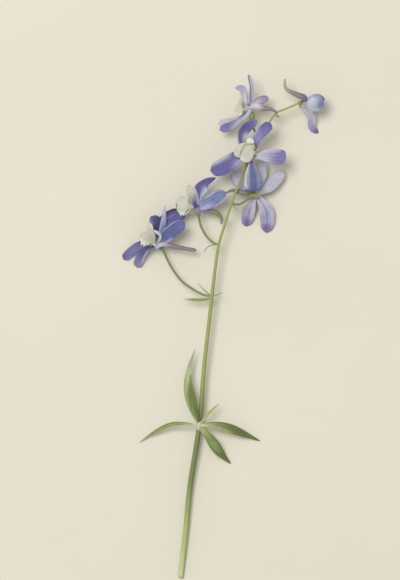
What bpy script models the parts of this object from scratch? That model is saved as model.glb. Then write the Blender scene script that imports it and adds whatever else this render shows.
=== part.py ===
"""A cut larkspur flower spike lying on a flat surface.

One flowering stem with its palmate stem leaf, small bracts and six blooms. +X and +Y lie in the surface,
the stem runs along +Y from its cut foot to its tip, and +Z is up. Places below are in millimetres from
the middle of the spike, on the surface. Each bloom has a calyx of sepals with its spur, a body of white
petals and a bundle of stamens, and each of these is one grown piece.
"""

import math

import bmesh
import bpy
import numpy as np
from mathutils import Matrix, Vector

MM = 0.001

# Driving dimensions, in millimetres
SEPAL_THICKNESS = 0.7
PETAL_THICKNESS = 0.6
LEAF_THICKNESS = 0.7
FOOT_RADIUS = 1.26
NODE_RADIUS = 1.12
RACEME_RADIUS = 0.62
TIP_RADIUS = 0.48
PEDICEL_RADIUS = 0.5
THREAD_RADIUS = 0.3
LEAF_COLLAR_RADIUS = 1.45
LEAF_COLLAR_HALF_LENGTH = 2.3
LEAF_COLLAR_GAP = 0.35
STAMEN_RADIUS = 0.26
STAMEN_COUNT = 5
STAMEN_SPREAD = 1.1
STAMEN_HUB_RADIUS = 0.5
STAMEN_ROOT_SPREAD = 0.3
ANTHER_RADIUS = 0.39
LOBE_CUP = 0.25
BRACT_CUP = 0.2
ROOT_SHARE = 0.35

# How finely the shapes are cut
SEPAL_ROWS = 6
SEPAL_COLUMNS = 4
PETAL_ROWS = 5
PETAL_COLUMNS = 4
LOBE_ROWS = 8
BRACT_ROWS = 4
LOBE_COLUMNS = 2
STEM_SIDES = 8
THIN_SIDES = 6
KNOB_SEGMENTS = 10
KNOB_RINGS = 6
COLLAR_SEGMENTS = 14
COLLAR_RINGS = 8
STAMEN_SIDES = 4
CLEARANCE_SIDES = 12
STEM_RING_SPACING = 5.0
STALK_RING_SPACING = 2.6
SPUR_RING_SPACING = 2.2
STAMEN_RING_SPACING = 1.5
TIP_CROWDING = 1.15
CURVE_STEPS = 24
SHARP_ANGLE = 40
WELD_DISTANCE = 1e-7

# Half-width along a blade, from its base (0) to its tip (1), as a share of the widest half-width
SEPAL_OUTLINE = ((0.0, 0.3), (0.15, 0.38), (0.35, 0.7), (0.6, 1.0), (0.8, 0.95), (0.93, 0.66), (1.0, 0.22))
BLUNT_OUTLINE = ((0, 0.26), (0.15, 0.36), (0.35, 0.72), (0.6, 0.98), (0.85, 1.0), (0.95, 0.85), (1.0, 0.55))
OBLONG_OUTLINE = ((0.0, 0.34), (0.15, 0.52), (0.35, 0.86), (0.6, 1.0), (0.8, 0.93), (0.93, 0.68), (1.0, 0.3))
BROAD_OUTLINE = ((0.0, 0.5), (0.15, 0.72), (0.35, 0.95), (0.55, 1.0), (0.8, 0.92), (0.93, 0.68), (1.0, 0.34))
STRAP_OUTLINE = ((0.0, 0.4), (0.2, 0.52), (0.45, 0.6), (0.7, 0.96), (0.87, 1.0), (0.95, 0.8), (1.0, 0.42))
HOOKED_OUTLINE = ((0.0, 0.26), (0.25, 0.36), (0.5, 1.0), (0.68, 0.66), (0.85, 0.42), (1.0, 0.12))
POINTED_OUTLINE = ((0.0, 0.4), (0.2, 0.75), (0.45, 1.0), (0.7, 0.8), (0.9, 0.38), (1.0, 0.12))
LOBE_OUTLINE = ((0.0, 0.34), (0.2, 0.7), (0.42, 1.0), (0.65, 0.84), (0.85, 0.4), (1.0, 0.12))
PETAL_OUTLINE = ((0.0, 0.2), (0.2, 0.32), (0.4, 0.78), (0.6, 1.0), (0.8, 0.95), (0.93, 0.68), (1.0, 0.36))
CLAW_OUTLINE = ((0.0, 0.4), (0.3, 0.5), (0.6, 0.95), (0.8, 1.0), (0.93, 0.7), (1.0, 0.35))

STEM_LINE = (
    ((-19.4, -113, 1.27), FOOT_RADIUS),
    ((-17.1, -92.8, 2.3), 1.22),
    ((-15.1, -72.1, 3.5), 1.18),
    ((-11, -45.1, 5.2), NODE_RADIUS),
    ((-8.8, -18.5, 6.6), 0.92),
    ((-6.7, 0.4, 7.5), 0.85),
    ((-5.4, 12.1, 8.1), 0.80),
    ((-3.6, 27.5, 9.0), 0.68),
    ((-2.1, 36.9, 9.6), RACEME_RADIUS),
    ((-0.2, 43.1, 10.0), 0.58),
    ((3.6, 55.1, 10.6), 0.55),
    ((7.5, 65.3, 10.9), 0.52),
    ((9.5, 71.5, 11.0), 0.5),
    ((12.8, 79.1, 11.0), 0.5),
    ((17.3, 85.9, 10.9), TIP_RADIUS),
    ((23, 94.8, 10.6), TIP_RADIUS),
    ((27.9, 97.3, 10.2), TIP_RADIUS),
    ((33.8, 99.9, 9.4), TIP_RADIUS),
)

# Flower stalks, each from its node on the stem to the receptacle of its bloom
PEDICELS = {
    "a": ((-5.2, 13.4, 8.1), (-9.2, 14, 7.7), (-13.9, 16.5, 7.2), (-18.4, 19.7, 6.75),
          (-21.8, 23.8, 6.45), (-24.5, 28.2, 6.2), (-26.4, 32.3, 5.95), (-28.1, 35.2, 5.8)),
    "b": ((-2.1, 36.5, 9.6), (-4.7, 37.3, 9.3), (-7.7, 40.2, 8.7), (-9.9, 44, 8.3),
          (-10.9, 47.4, 8.1), (-11.4, 49.9, 8.0)),
    "c": ((3.5, 54.9, 10.6), (6.5, 54.4, 10.7), (8.9, 55.4, 10.2), (11.3, 57.1, 9.4),
          (13.3, 58.4, 8.8)),
    "d": ((7.5, 65.3, 10.9), (9.6, 70.3, 11.8), (11.7, 74.6, 12.2)),
    "e": ((16, 83.8, 10.9), (14.2, 86.8, 10.8), (13.1, 89.5, 10.5), (12.5, 93.1, 10.3)),
}

# Small bracts and threads beside the nodes of the stem
BRACTS = (
    (((-5.4, 12.5, 8.1), (-10.1, 11.7, 7.8), (-18.5, 12, 6.4)), 1.5),
    (((34.4, 99.8, 9.2), (34.4, 98.5, 9.0), (34.6, 97.1, 8.7)), 1.0),
    (((23, 94.8, 10.6), (24.3, 93.9, 10.9), (25.8, 93.6, 11.0)), 1.0),
)
THREADS = (
    ((-4.7, 13.6, 8.1), (-2.7, 14, 8.3), (-0.5, 14.9, 8.4)),
    ((-5.4, 13.2, 8.2), (-8.3, 15.7, 8.8), (-11.3, 18.8, 9.2)),
    ((-2.2, 36.6, 9.6), (-5.6, 36.1, 9.9), (-7.7, 34.8, 9.6), (-8.6, 33.3, 8.8)),
    ((3.6, 55, 10.6), (4.7, 53.5, 10.8), (5.9, 51.5, 10.8)),
)

# Leaf lobes: spine from the collar to the tip, widest width, and roll at base and tip in degrees
LEAF_NODE = (-11, -44.9, 6.35)
LEAF_LOBES = (
    (((-11.5, -43.2, 6.9), (-14.7, -37, 7.8), (-16.3, -30.2, 7.2), (-16.2, -23.5, 6.4),
      (-15, -17.2, 5.8), (-12.7, -10.2, 5.2)), 3.1, 20, 0),
    (((-11.1, -43, 7.1), (-12.5, -37.9, 8.4), (-13.6, -33.4, 8.3), (-14.7, -28, 7.7), (-15, -21.7, 6.9)),
     3.2, -20, -10),
    (((-10.6, -43.9, 7.1), (-7.3, -39.9, 7.4), (-4.4, -37, 6.8), (-1.6, -34.8, 6.0)), 1.35, 0, 0),
    (((-11.7, -44.7, 7), (-16.4, -43.9, 7.6), (-23.6, -44.3, 6.2), (-31, -47.8, 3.2), (-37.9, -52.5, 0.35)),
     1.9, 15, 0),
    (((-10.4, -44.7, 7.0), (-3.8, -44.5, 7.6), (2.5, -46, 6.2), (9.7, -48.8, 3.2), (16.4, -51.8, 0.35)),
     4.0, -15, 0),
    (((-10.6, -45.5, 7.0), (-7.2, -49.3, 7.2), (-4, -53.7, 5.4), (-0.7, -58, 2.8), (3.2, -62, 0.35)),
     4.6, -10, 0),
)

# Each sepal or petal is (places from base to tip, widest width, outline, roll at base, roll at
# tip, cup), with rolls in degrees. A cup over 0 lifts the side edges towards the upper face, as a share of
# the half-width. Receptacles and calyxes are (place, axis, radius, half-length).
BLOOMS = {
    "a": {
        "receptacle": ((-28, 35.3, 5.1), (-0.55, 0.2, 0.8), 1.2, 1.2),
        "calyx": ((-29.6, 36.2, 7.6), (-0.55, 0.2, 0.8), 1.7, 0.8),
        "petal_hub": ((-30.8, 36.5, 8.98), 0.95, 0.5),
        "sepals": (
            (((-34, 37.4, 6.6), (-38, 36.1, 3.8), (-41.9, 33, 1.2), (-45.1, 30, 0.4)),
             3.9, BLUNT_OUTLINE, 40, 0, 0.2),
            (((-33.5, 34.9, 6.4), (-35.9, 33, 4.4), (-37.8, 29.7, 1.8), (-38.9, 26.4, 0.6)),
             4.0, BLUNT_OUTLINE, 30, 0, 0.2),
            (((-27.7, 38.3, 8.6), (-24.7, 41, 9.8), (-21.4, 43.6, 10.6), (-17.5, 46.2, 10.6)),
             6.2, BROAD_OUTLINE, -10, -10, 0.2),
            (((-27.9, 41.8, 7.2), (-25.2, 47.3, 6.5), (-17.3, 51.2, 4.9)), 7.2, OBLONG_OUTLINE, 5, 5, 0.15),
            (((-27.9, 41.3, 8.9), (-26.7, 48.1, 9.2), (-26.4, 54.2, 8.6)),
             2.8, POINTED_OUTLINE, 15, 15, -0.3),
            (((-28.8, 41.3, 7.5), (-29.5, 45.5, 7.7), (-32.8, 49, 8.2)), 5.6, SEPAL_OUTLINE, 5, 0, 0.15),
        ),
        "spur": (((-26.6, 36.6, 8.4), 1.15), ((-22.3, 35.7, 8.0), 1.05),
                 ((-16.9, 34.6, 7.4), 0.92), ((-13.5, 34.1, 7.1), 0.86), ((-12.6, 34, 7.0), 0.5)),
        "petals": (
            (((-32, 38.2, 10.4), (-34, 39.5, 11.0), (-36.9, 40.9, 10.4)), 7.6, PETAL_OUTLINE, 0, 0, -0.15),
            (((-28.8, 38.4, 10.8), (-28.6, 40.7, 11.6), (-31.5, 42.8, 12.2)),
             2.2, CLAW_OUTLINE, 45, 45, 0.0),
            (((-31.9, 40.4, 9.9), (-32.8, 43.3, 10.4), (-33.4, 46.4, 10.6)),
             2.7, CLAW_OUTLINE, 10, 10, 0.15),
        ),
        "stamens": ((-32.4, 36.5, 8.55), (-34.9, 36.9, 8.75)),
    },
    "b": {
        "receptacle": ((-11.5, 50, 8.0), (-0.05, 0.95, 0.3), 1.2, 1.0),
        "calyx": ((-11.6, 52.9, 8.9), (-0.05, 0.95, 0.3), 1.35, 1.6),
        "petal_hub": ((-13.9, 53.4, 9.6), 0.7, 0.6),
        "sepals": (
            (((-9.5, 53.9, 9.9), (-6.5, 55.3, 10.8), (-2.9, 57.5, 11.4), (0.9, 59.9, 11.8)),
             6.3, BROAD_OUTLINE, -10, -10, 0.2),
            (((-11, 57.1, 10.0), (-10.3, 61.1, 10.8), (-7.9, 64.3, 11.0), (-3.5, 66.4, 11.0)),
             5.8, HOOKED_OUTLINE, 5, 5, 0.2),
            (((-11.9, 57.1, 10.8), (-12.7, 60.7, 11.6), (-13.4, 62.6, 11.8)),
             1.6, POINTED_OUTLINE, 0, 0, 0.0),
            (((-14.8, 54.1, 7.1), (-17.6, 55.1, 6.8), (-20, 55.7, 6.8)), 4.2, SEPAL_OUTLINE, 0, 0, 0.0),
            (((-12.8, 53.9, 11.4), (-13.2, 56.6, 11.8), (-12.8, 58.7, 11.6)),
             2.0, POINTED_OUTLINE, 20, 20, 0.0),
        ),
        "spur": (((-9.2, 51.5, 8.9), 0.85), ((-6.5, 51.6, 8.7), 1.05), ((-4, 51, 8.7), 1.1),
                 ((-1.8, 49.4, 9.0), 0.85), ((-0.9, 47.7, 9.4), 0.65), ((-1, 46, 9.8), 0.5)),
        "petals": (
            (((-15.8, 53.7, 10.4), (-17.4, 53.9, 10.7), (-21.1, 53.8, 10.2)),
             8.5, PETAL_OUTLINE, 0, 0, -0.15),
            (((-14.5, 57.1, 9.9), (-15.1, 60.2, 10.2), (-15.5, 63.1, 10.4)), 3.5, CLAW_OUTLINE, 0, 0, 0.15),
            (((-16, 51.9, 9.3), (-17.6, 51.1, 9.2), (-18.9, 50.8, 9.2)), 3.0, CLAW_OUTLINE, 0, 0, 0.0),
        ),
        "stamens": ((-13.7, 50.9, 7.9), (-16.2, 50.6, 7.7)),
    },
    "c": {
        "receptacle": ((13.7, 58.3, 8.9), (1.0, -0.1, 0.0), 1.1, 2.4),
        "calyx": ((14.2, 58.8, 6.6), (0.0, 0.05, -1.0), 1.9, 0.8),
        "petal_hub": ((14.1, 58.9, 4.9), 1.1, 0.5),
        "sepals": (
            (((12.9, 55.5, 6.1), (11.4, 51.2, 3.9), (10, 44.8, 0.45)), 5.6, OBLONG_OUTLINE, 0, 0, -0.15),
            (((17.1, 55.5, 6.2), (19.3, 51.2, 4.6), (19.8, 47.2, 2.4), (19.4, 41.9, 0.45)),
             6.5, OBLONG_OUTLINE, 0, 0, -0.15),
            (((20, 62.4, 5.8), (23.2, 65.8, 5.0), (26.7, 69.9, 4.2)), 5.8, OBLONG_OUTLINE, -10, -10, -0.15),
            (((16.4, 64.3, 6.2), (17.3, 69.2, 5.6), (17.5, 74.4, 5.0)), 4.6, SEPAL_OUTLINE, 10, 10, -0.15),
            (((9.7, 62, 6.2), (7, 65, 5.6), (4.1, 69.7, 4.8)), 5.8, OBLONG_OUTLINE, 10, 10, -0.15),
        ),
        "spur": (((11.7, 60, 7.0), 1.1), ((9.7, 59.9, 7.7), 1.12), ((6.5, 60.1, 8.1), 1.05),
                 ((4, 60.8, 8.3), 0.8), ((1.3, 59.8, 8.5), 0.5)),
        "petals": (
            (((13.1, 56.2, 3.7), (11.9, 52.4, 1.5)), 3.8, PETAL_OUTLINE, 0, 0, 0.15),
            (((16.2, 56.3, 3.7), (18.2, 52.8, 1.5)), 3.8, PETAL_OUTLINE, 0, 0, 0.15),
            (((15.3, 61.8, 4.4), (16.4, 65.2, 4.0)), 3.0, CLAW_OUTLINE, 0, 0, 0.15),
        ),
        "stamens": ((14.1, 58.5, 3.5), (14.4, 56.8, 1.5)),
    },
    "d": {
        "receptacle": ((12.2, 75.2, 12.2), (-0.05, 0.05, 1.0), 1.2, 1.1),
        "calyx": ((12.1, 75.3, 14.45), (-0.05, 0.05, 1.0), 1.8, 0.8),
        "petal_hub": ((11.5, 77.7, 16.02), 1.2, 0.5),
        "sepals": (
            (((9, 79.7, 14.7), (8, 84.1, 16.0), (10, 88.3, 17.2), (14.9, 91.8, 17.2)),
             4.6, OBLONG_OUTLINE, 30, 10, 0.2),
            (((13.6, 79.8, 14.6), (14.6, 83.3, 15.0), (17.3, 86.9, 15.2), (21.2, 90.5, 15.0)),
             4.8, BLUNT_OUTLINE, 0, -10, 0.2),
            (((17.3, 76.1, 15.0), (22.3, 75.9, 15.4), (27.9, 75.2, 15.0)), 6.6, BLUNT_OUTLINE, 0, 0, 0.15),
            (((7.4, 76, 14.6), (3.1, 73.4, 14.4), (-1.1, 70.9, 13.8), (-5.9, 69.4, 13.2)),
             7.6, OBLONG_OUTLINE, 10, 0, 0.2),
            (((12.4, 70.1, 14.1), (12.6, 65.2, 13.1), (12.9, 60.3, 11.9)), 7.0, BLUNT_OUTLINE, 0, 0, -0.2),
        ),
        "spur": (((14.8, 75.8, 13.9), 1.0), ((18.2, 75.4, 12.4), 0.92), ((20.9, 75.2, 11.4), 0.78),
                 ((23.6, 75.2, 10.8), 0.5)),
        "petals": (
            (((9.9, 79.7, 17.4), (7.6, 78.9, 17.9), (5.6, 75.5, 17.3)), 4.8, BROAD_OUTLINE, 5, 5, -0.1),
            (((11.9, 79.7, 18.0), (10.5, 76.9, 18.5), (8.8, 73.3, 17.7)), 6.0, BROAD_OUTLINE, -5, -5, -0.1),
            (((11.8, 80.7, 17.3), (11.8, 84, 17.0)), 3.6, CLAW_OUTLINE, 0, 0, -0.2),
        ),
        "stamens": ((10.4, 75.2, 16.25), (8.2, 77, 16.2)),
    },
    "e": {
        "receptacle": ((12.5, 94.1, 10.2), (-0.05, 1.0, 0.1), 1.4, 2.1),
        "calyx": ((12.3, 98, 10.7), (-0.05, 1.0, 0.1), 1.6, 1.0),
        "petal_hub": ((9.4, 97.8, 11.0), 0.7, 0.6),
        "sepals": (
            (((12.3, 102.5, 11.6), (12.6, 107.5, 12.0), (11.1, 112.6, 11.8)),
             2.6, OBLONG_OUTLINE, 35, 35, 0.2),
            (((9.9, 100.3, 12.6), (9.1, 103.6, 13.2), (8.3, 106.2, 13.0), (5.2, 106.7, 12.4)),
             3.0, OBLONG_OUTLINE, 20, 20, 0.2),
            (((15.3, 100.5, 9.8), (17.8, 101.5, 9.6), (20.2, 102, 9.6)), 3.6, OBLONG_OUTLINE, 10, 10, 0.1),
            (((10.4, 94.4, 12.6), (7, 92, 11.6), (2.7, 89.5, 9.6), (-1.8, 87.9, 8.2)),
             3.6, STRAP_OUTLINE, 0, 0, 0.1),
            (((9, 94.9, 7.8), (4.3, 92.4, 6.8), (-2.6, 90.5, 6.0)), 3.0, STRAP_OUTLINE, 10, 10, 0.1),
        ),
        "spur": (((14.6, 98.5, 11.7), 1.75), ((16.9, 97.7, 12.2), 1.5), ((19.1, 97.3, 12.6), 1.1),
                 ((21.6, 96.9, 12.8), 0.8), ((23.7, 95.5, 12.8), 0.45)),
        "petals": (
            (((8.1, 99.5, 12.6), (6.9, 97.8, 13.3), (6.8, 93.8, 13.3)), 3.6, CLAW_OUTLINE, 0, 0, 0.0),
            (((8.4, 99.6, 11.7), (7.6, 101.8, 11.8)), 2.9, CLAW_OUTLINE, 0, 0, 0.0),
        ),
        "stamens": ((9.8, 96.2, 9.9), (7.3, 95.5, 10.0)),
    },
    "f": {
        "receptacle": ((34.4, 100, 9.2), (0.92, 0.2, 0.3), 1.1, 1.15),
        "calyx": ((36.7, 100.5, 10.1), (0.92, 0.2, 0.3), 1.5, 0.8),
        "petal_hub": ((39.3, 100.1, 10.2), 0.6, 0.6),
        "sepals": (
            (((39.4, 102.2, 11.5), (42.3, 102.5, 11.7), (45.2, 101, 11.2)),
             3.2, OBLONG_OUTLINE, -20, -20, -0.2),
            (((38.7, 99.8, 12.7), (41.8, 99.5, 13.0), (45, 99.5, 12.0)), 7.4, BROAD_OUTLINE, 5, 5, -0.35),
            (((38.7, 99.8, 7.6), (41.8, 99.5, 7.3), (44.8, 99.5, 8.3)), 6.8, BROAD_OUTLINE, 0, 0, 0.35),
            (((36, 97.6, 8.0), (37.8, 95.8, 6.2), (39.6, 93.1, 4.0), (39.8, 89.5, 1.4), (42.5, 86.7, 0.35)),
             3.5, OBLONG_OUTLINE, 10, 0, 0.1),
            (((38.2, 97.4, 7.0), (40.1, 96.2, 5.8), (41.9, 95.9, 5.4)), 3.2, SEPAL_OUTLINE, 10, 10, 0.1),
        ),
        "spur": (((35.8, 102.4, 11.1), 1.35), ((33.7, 103.2, 11.3), 1.3), ((30.8, 104.5, 11.2), 1.0),
                 ((28.5, 105.7, 11.0), 0.8), ((27.5, 107.3, 11.0), 0.68), ((27.4, 110.3, 11.0), 0.5)),
        "petals": (
            (((39.8, 98.5, 10.2), (39.8, 95.5, 9.8)), 3.2, CLAW_OUTLINE, 0, 0, 0.0),
            (((41, 100, 10.2), (43.2, 99.7, 10.0)), 2.8, CLAW_OUTLINE, 0, 0, 0.0),
        ),
        "stamens": None,
    },
}

COLOURS = {
    "stem green": ((0.33, 0.38, 0.11, 1.0), 0.55),
    "leaf green": ((0.19, 0.27, 0.08, 1.0), 0.6),
    "sepal violet": ((0.13, 0.12, 0.36, 1.0), 0.55),
    "petal white": ((0.66, 0.64, 0.52, 1.0), 0.6),
    "anther olive": ((0.30, 0.27, 0.12, 1.0), 0.6),
}


def clear_scene():
    for old in list(bpy.data.objects):
        bpy.data.objects.remove(old)


def material(name):
    """The named Principled material, made once."""
    made = bpy.data.materials.get(name)
    if made:
        return made
    colour, roughness = COLOURS[name]
    made = bpy.data.materials.new(name)
    made.use_nodes = True
    shader = made.node_tree.nodes["Principled BSDF"]
    shader.inputs["Base Color"].default_value = colour
    shader.inputs["Roughness"].default_value = roughness
    shader.inputs["Metallic"].default_value = 0.0
    return made


def smooth_run(points, shares):
    """Places on a smooth curve through the points, at these shares of its length."""
    p = np.array(points, float)
    p = np.vstack([2 * p[0] - p[1], p, 2 * p[-1] - p[-2]])
    fine = []
    for i in range(1, len(p) - 2):
        for t in np.arange(CURVE_STEPS) / CURVE_STEPS:
            fine.append(
                0.5 * (2 * p[i] + (p[i + 1] - p[i - 1]) * t
                       + (2 * p[i - 1] - 5 * p[i] + 4 * p[i + 1] - p[i + 2]) * t ** 2
                       + (3 * p[i] - p[i - 1] - 3 * p[i + 1] + p[i + 2]) * t ** 3)
            )
    fine.append(p[-2])
    fine = np.array(fine)
    along = np.concatenate([[0.0], np.cumsum(np.linalg.norm(np.diff(fine[:, :3], axis=0), axis=1))])
    wanted = np.asarray(shares) * along[-1]
    return np.stack([np.interp(wanted, along, fine[:, k]) for k in range(p.shape[1])], axis=1)


def eased(stops, t):
    """A value read from (place, value) stops, with no corner at a stop's ends."""
    places, values = zip(*stops)
    i = int(np.clip(np.searchsorted(places, t, side="right") - 1, 0, len(places) - 2))
    s = (t - places[i]) / (places[i + 1] - places[i])
    slopes = np.gradient(values, places)
    width = places[i + 1] - places[i]
    return ((2 * s ** 3 - 3 * s ** 2 + 1) * values[i] + (s ** 3 - 2 * s ** 2 + s) * width * slopes[i]
            + (3 * s ** 2 - 2 * s ** 3) * values[i + 1] + (s ** 3 - s ** 2) * width * slopes[i + 1])


def new_object(name, mesh):
    made = bpy.data.objects.new(name, mesh)
    bpy.context.scene.collection.objects.link(made)
    return made


def evaluated_copy(source, name):
    """A new object with the evaluated mesh of this one, which is removed."""
    bpy.context.view_layer.update()
    graph = bpy.context.evaluated_depsgraph_get()
    mesh = bpy.data.meshes.new_from_object(source.evaluated_get(graph))
    made = new_object(name, mesh)
    made.matrix_world = source.matrix_world.copy()
    bpy.data.objects.remove(source)
    return made


def weld(thing):
    shape = bmesh.new()
    shape.from_mesh(thing.data)
    bmesh.ops.remove_doubles(shape, verts=shape.verts, dist=WELD_DISTANCE)
    bmesh.ops.recalc_face_normals(shape, faces=shape.faces)
    shape.to_mesh(thing.data)
    shape.free()


def tube(name, line, sides, spacing):
    """A round tapering tube along a line of (place, radius), with a ring about every spacing."""
    rows = np.array([(*place, radius) for place, radius in line])
    length = np.linalg.norm(np.diff(rows[:, :3], axis=0), axis=1).sum()
    rings = max(2, int(round(length / spacing)))
    run = smooth_run(rows, np.linspace(0, 1, rings + 1))
    curve = bpy.data.curves.new(name, "CURVE")
    curve.dimensions = "3D"
    curve.bevel_depth = MM
    curve.bevel_resolution = sides // 2 - 2
    curve.use_fill_caps = True
    spline = curve.splines.new("POLY")
    spline.points.add(len(run) - 1)
    for point, (x, y, z, radius) in zip(spline.points, run):
        point.co = (x * MM, y * MM, z * MM, 1.0)
        point.radius = radius
    made = evaluated_copy(new_object(name, curve), name)
    weld(made)
    return made


def knob(name, centre, axis, radius, half_height, segments=KNOB_SEGMENTS, rings=KNOB_RINGS):
    """A rounded knob with its short or long half-height along the axis."""
    shape = bmesh.new()
    bmesh.ops.create_uvsphere(shape, u_segments=segments, v_segments=rings, radius=1.0)
    turn = Vector((0, 0, 1)).rotation_difference(Vector(axis)).to_matrix().to_4x4()
    size = Matrix.Diagonal((radius * MM, radius * MM, half_height * MM, 1.0))
    move = Matrix.Translation(Vector(centre) * MM)
    bmesh.ops.transform(shape, matrix=move @ turn @ size, verts=shape.verts)
    mesh = bpy.data.meshes.new(name)
    shape.to_mesh(mesh)
    shape.free()
    return new_object(name, mesh)


def blade(name, spine, width, outline, roll, tip_roll, cup, thickness, rows, columns):
    """A thin cupped blade along a spine, its upper face turned up and then rolled about the spine."""
    shares = 1 - (1 - np.linspace(0, 1, rows + 1)) ** TIP_CROWDING
    run = smooth_run(spine, shares)
    ahead = np.gradient(run, axis=0)
    shape = bmesh.new()
    bmesh.ops.create_grid(shape, x_segments=columns, y_segments=rows, size=1.0)
    for vertex in shape.verts:
        across = vertex.co.x
        row = int(round((vertex.co.y + 1) / 2 * rows))
        share = shares[row]
        forward = Vector(ahead[row]).normalized()
        face = (Vector((0, 0, 1)) - forward * forward.z).normalized()
        face.rotate(Matrix.Rotation(math.radians(roll + (tip_roll - roll) * share), 3, forward))
        side = forward.cross(face)
        fullness = eased(outline, share)
        half = width / 2 * fullness
        place = Vector(run[row]) + side * (half * across) + face * (cup * fullness * half * across ** 2)
        vertex.co = place * MM
    bmesh.ops.triangulate(shape, faces=shape.faces, quad_method="FIXED")
    mesh = bpy.data.meshes.new(name)
    shape.to_mesh(mesh)
    shape.free()
    made = new_object(name, mesh)
    skin = made.modifiers.new("thickness", "SOLIDIFY")
    skin.thickness = thickness * MM
    skin.offset = 0.0
    return evaluated_copy(made, name)


def fuse(name, pieces, finish, collection, cutter=None):
    """One solid from all the pieces, less the cutter, as a node of the part."""
    body = pieces[0]
    others = bpy.data.collections.new(name + " pieces")
    bpy.context.scene.collection.children.link(others)
    for piece in pieces[1:]:
        others.objects.link(piece)
    join = body.modifiers.new("join", "BOOLEAN")
    join.operation = "UNION"
    join.solver = "MANIFOLD"
    join.operand_type = "COLLECTION"
    join.collection = others
    if cutter:
        cut = body.modifiers.new("cut", "BOOLEAN")
        cut.operation = "DIFFERENCE"
        cut.solver = "MANIFOLD"
        cut.object = cutter
    made = evaluated_copy(body, name)
    for piece in pieces[1:]:
        bpy.data.objects.remove(piece)
    bpy.data.collections.remove(others)
    if cutter:
        bpy.data.objects.remove(cutter)
    weld(made)
    made.data.materials.clear()
    made.data.materials.append(material(finish))
    made.data.shade_smooth()
    made.data.set_sharp_from_angle(angle=math.radians(SHARP_ANGLE))
    bpy.context.scene.collection.objects.unlink(made)
    collection.objects.link(made)
    return made


def rooted(middle, radius, spine):
    """The spine with a root inside the body that it grows from."""
    reach = Vector(spine[0]) - Vector(middle)
    root = Vector(middle) + reach.normalized() * radius * ROOT_SHARE
    return ((*root,), *spine)


def sepal(name, middle, radius, data):
    return blade(name, rooted(middle, radius, data[0]), *data[1:], SEPAL_THICKNESS, SEPAL_ROWS,
                 SEPAL_COLUMNS)


def petal(name, middle, radius, data):
    return blade(name, rooted(middle, radius, data[0]), *data[1:], PETAL_THICKNESS, PETAL_ROWS,
                 PETAL_COLUMNS)


def make_stem(collection):
    """The stem with its flower stalks, receptacles, bracts and threads."""
    pieces = [tube("stem", STEM_LINE, STEM_SIDES, STEM_RING_SPACING)]
    for letter, line in PEDICELS.items():
        pieces.append(tube("pedicel " + letter, [(p, PEDICEL_RADIUS) for p in line], THIN_SIDES,
                           STALK_RING_SPACING))
    for letter, bloom in BLOOMS.items():
        pieces.append(knob("receptacle " + letter, *bloom["receptacle"]))
    for i, (spine, width) in enumerate(BRACTS):
        pieces.append(blade(f"bract {i}", spine, width, POINTED_OUTLINE, 0, 0, BRACT_CUP, LEAF_THICKNESS,
                            BRACT_ROWS, LOBE_COLUMNS))
    for i, line in enumerate(THREADS):
        pieces.append(tube(f"thread {i}", [(p, THREAD_RADIUS) for p in line], THIN_SIDES,
                           STALK_RING_SPACING))
    return fuse("flower_stem", pieces, "stem green", collection)


def make_leaf(collection):
    """The stem leaf: its lobes spread from a collar that clasps the upper side of the stem."""
    below, above = Vector(STEM_LINE[2][0]), Vector(STEM_LINE[4][0])
    along = (above - below).normalized()
    pieces = [knob("collar", LEAF_NODE, along, LEAF_COLLAR_RADIUS, LEAF_COLLAR_HALF_LENGTH, COLLAR_SEGMENTS,
                   COLLAR_RINGS)]
    for i, (spine, width, roll, tip_roll) in enumerate(LEAF_LOBES):
        pieces.append(blade(f"lobe {i}", spine, width, LOBE_OUTLINE, roll, tip_roll, LOBE_CUP,
                            LEAF_THICKNESS, LOBE_ROWS, LOBE_COLUMNS))
    clear = [(place, radius + LEAF_COLLAR_GAP) for place, radius in STEM_LINE[2:5]]
    clearance = tube("clearance", clear, CLEARANCE_SIDES, STEM_RING_SPACING)
    return fuse("stem_leaf", pieces, "leaf green", collection, clearance)


def make_bloom(letter, bloom, collection):
    """The calyx with its spur, the petals and the stamens of one bloom."""
    middle, _, radius, _ = bloom["calyx"]
    pieces = [knob("calyx", *bloom["calyx"])]
    pieces += [sepal(f"sepal {i}", middle, radius, data) for i, data in enumerate(bloom["sepals"])]
    start = rooted(middle, radius, [bloom["spur"][0][0]])[0]
    pieces.append(tube("spur", ((start, bloom["spur"][0][1]), *bloom["spur"]), THIN_SIDES,
                       SPUR_RING_SPACING))
    fuse(f"bloom_{letter}_sepals", pieces, "sepal violet", collection)

    hub, hub_radius, hub_half = bloom["petal_hub"]
    pieces = [knob("petal hub", hub, (0, 0, 1), hub_radius, hub_half)]
    pieces += [petal(f"petal {i}", hub, hub_half, data) for i, data in enumerate(bloom["petals"])]
    fuse(f"bloom_{letter}_petals", pieces, "petal white", collection)

    if bloom["stamens"]:
        root, end = (Vector(p) for p in bloom["stamens"])
        forward = (end - root).normalized()
        side = forward.orthogonal().normalized()
        pieces = [knob("stamen hub", root, forward, STAMEN_HUB_RADIUS, STAMEN_HUB_RADIUS, THIN_SIDES,
                       STAMEN_SIDES)]
        for i in range(STAMEN_COUNT):
            lean = side.copy()
            lean.rotate(Matrix.Rotation(math.tau * i / STAMEN_COUNT, 3, forward))
            line = (
                (root + lean * STAMEN_ROOT_SPREAD / 2, STAMEN_RADIUS),
                (root.lerp(end, 0.5) + lean * (STAMEN_ROOT_SPREAD + STAMEN_SPREAD) / 4, STAMEN_RADIUS),
                (end + lean * STAMEN_SPREAD / 2, ANTHER_RADIUS),
            )
            pieces.append(tube(f"stamen {i}", [((*p,), r) for p, r in line], STAMEN_SIDES,
                               STAMEN_RING_SPACING))
        fuse(f"bloom_{letter}_stamens", pieces, "anther olive", collection)


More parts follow.
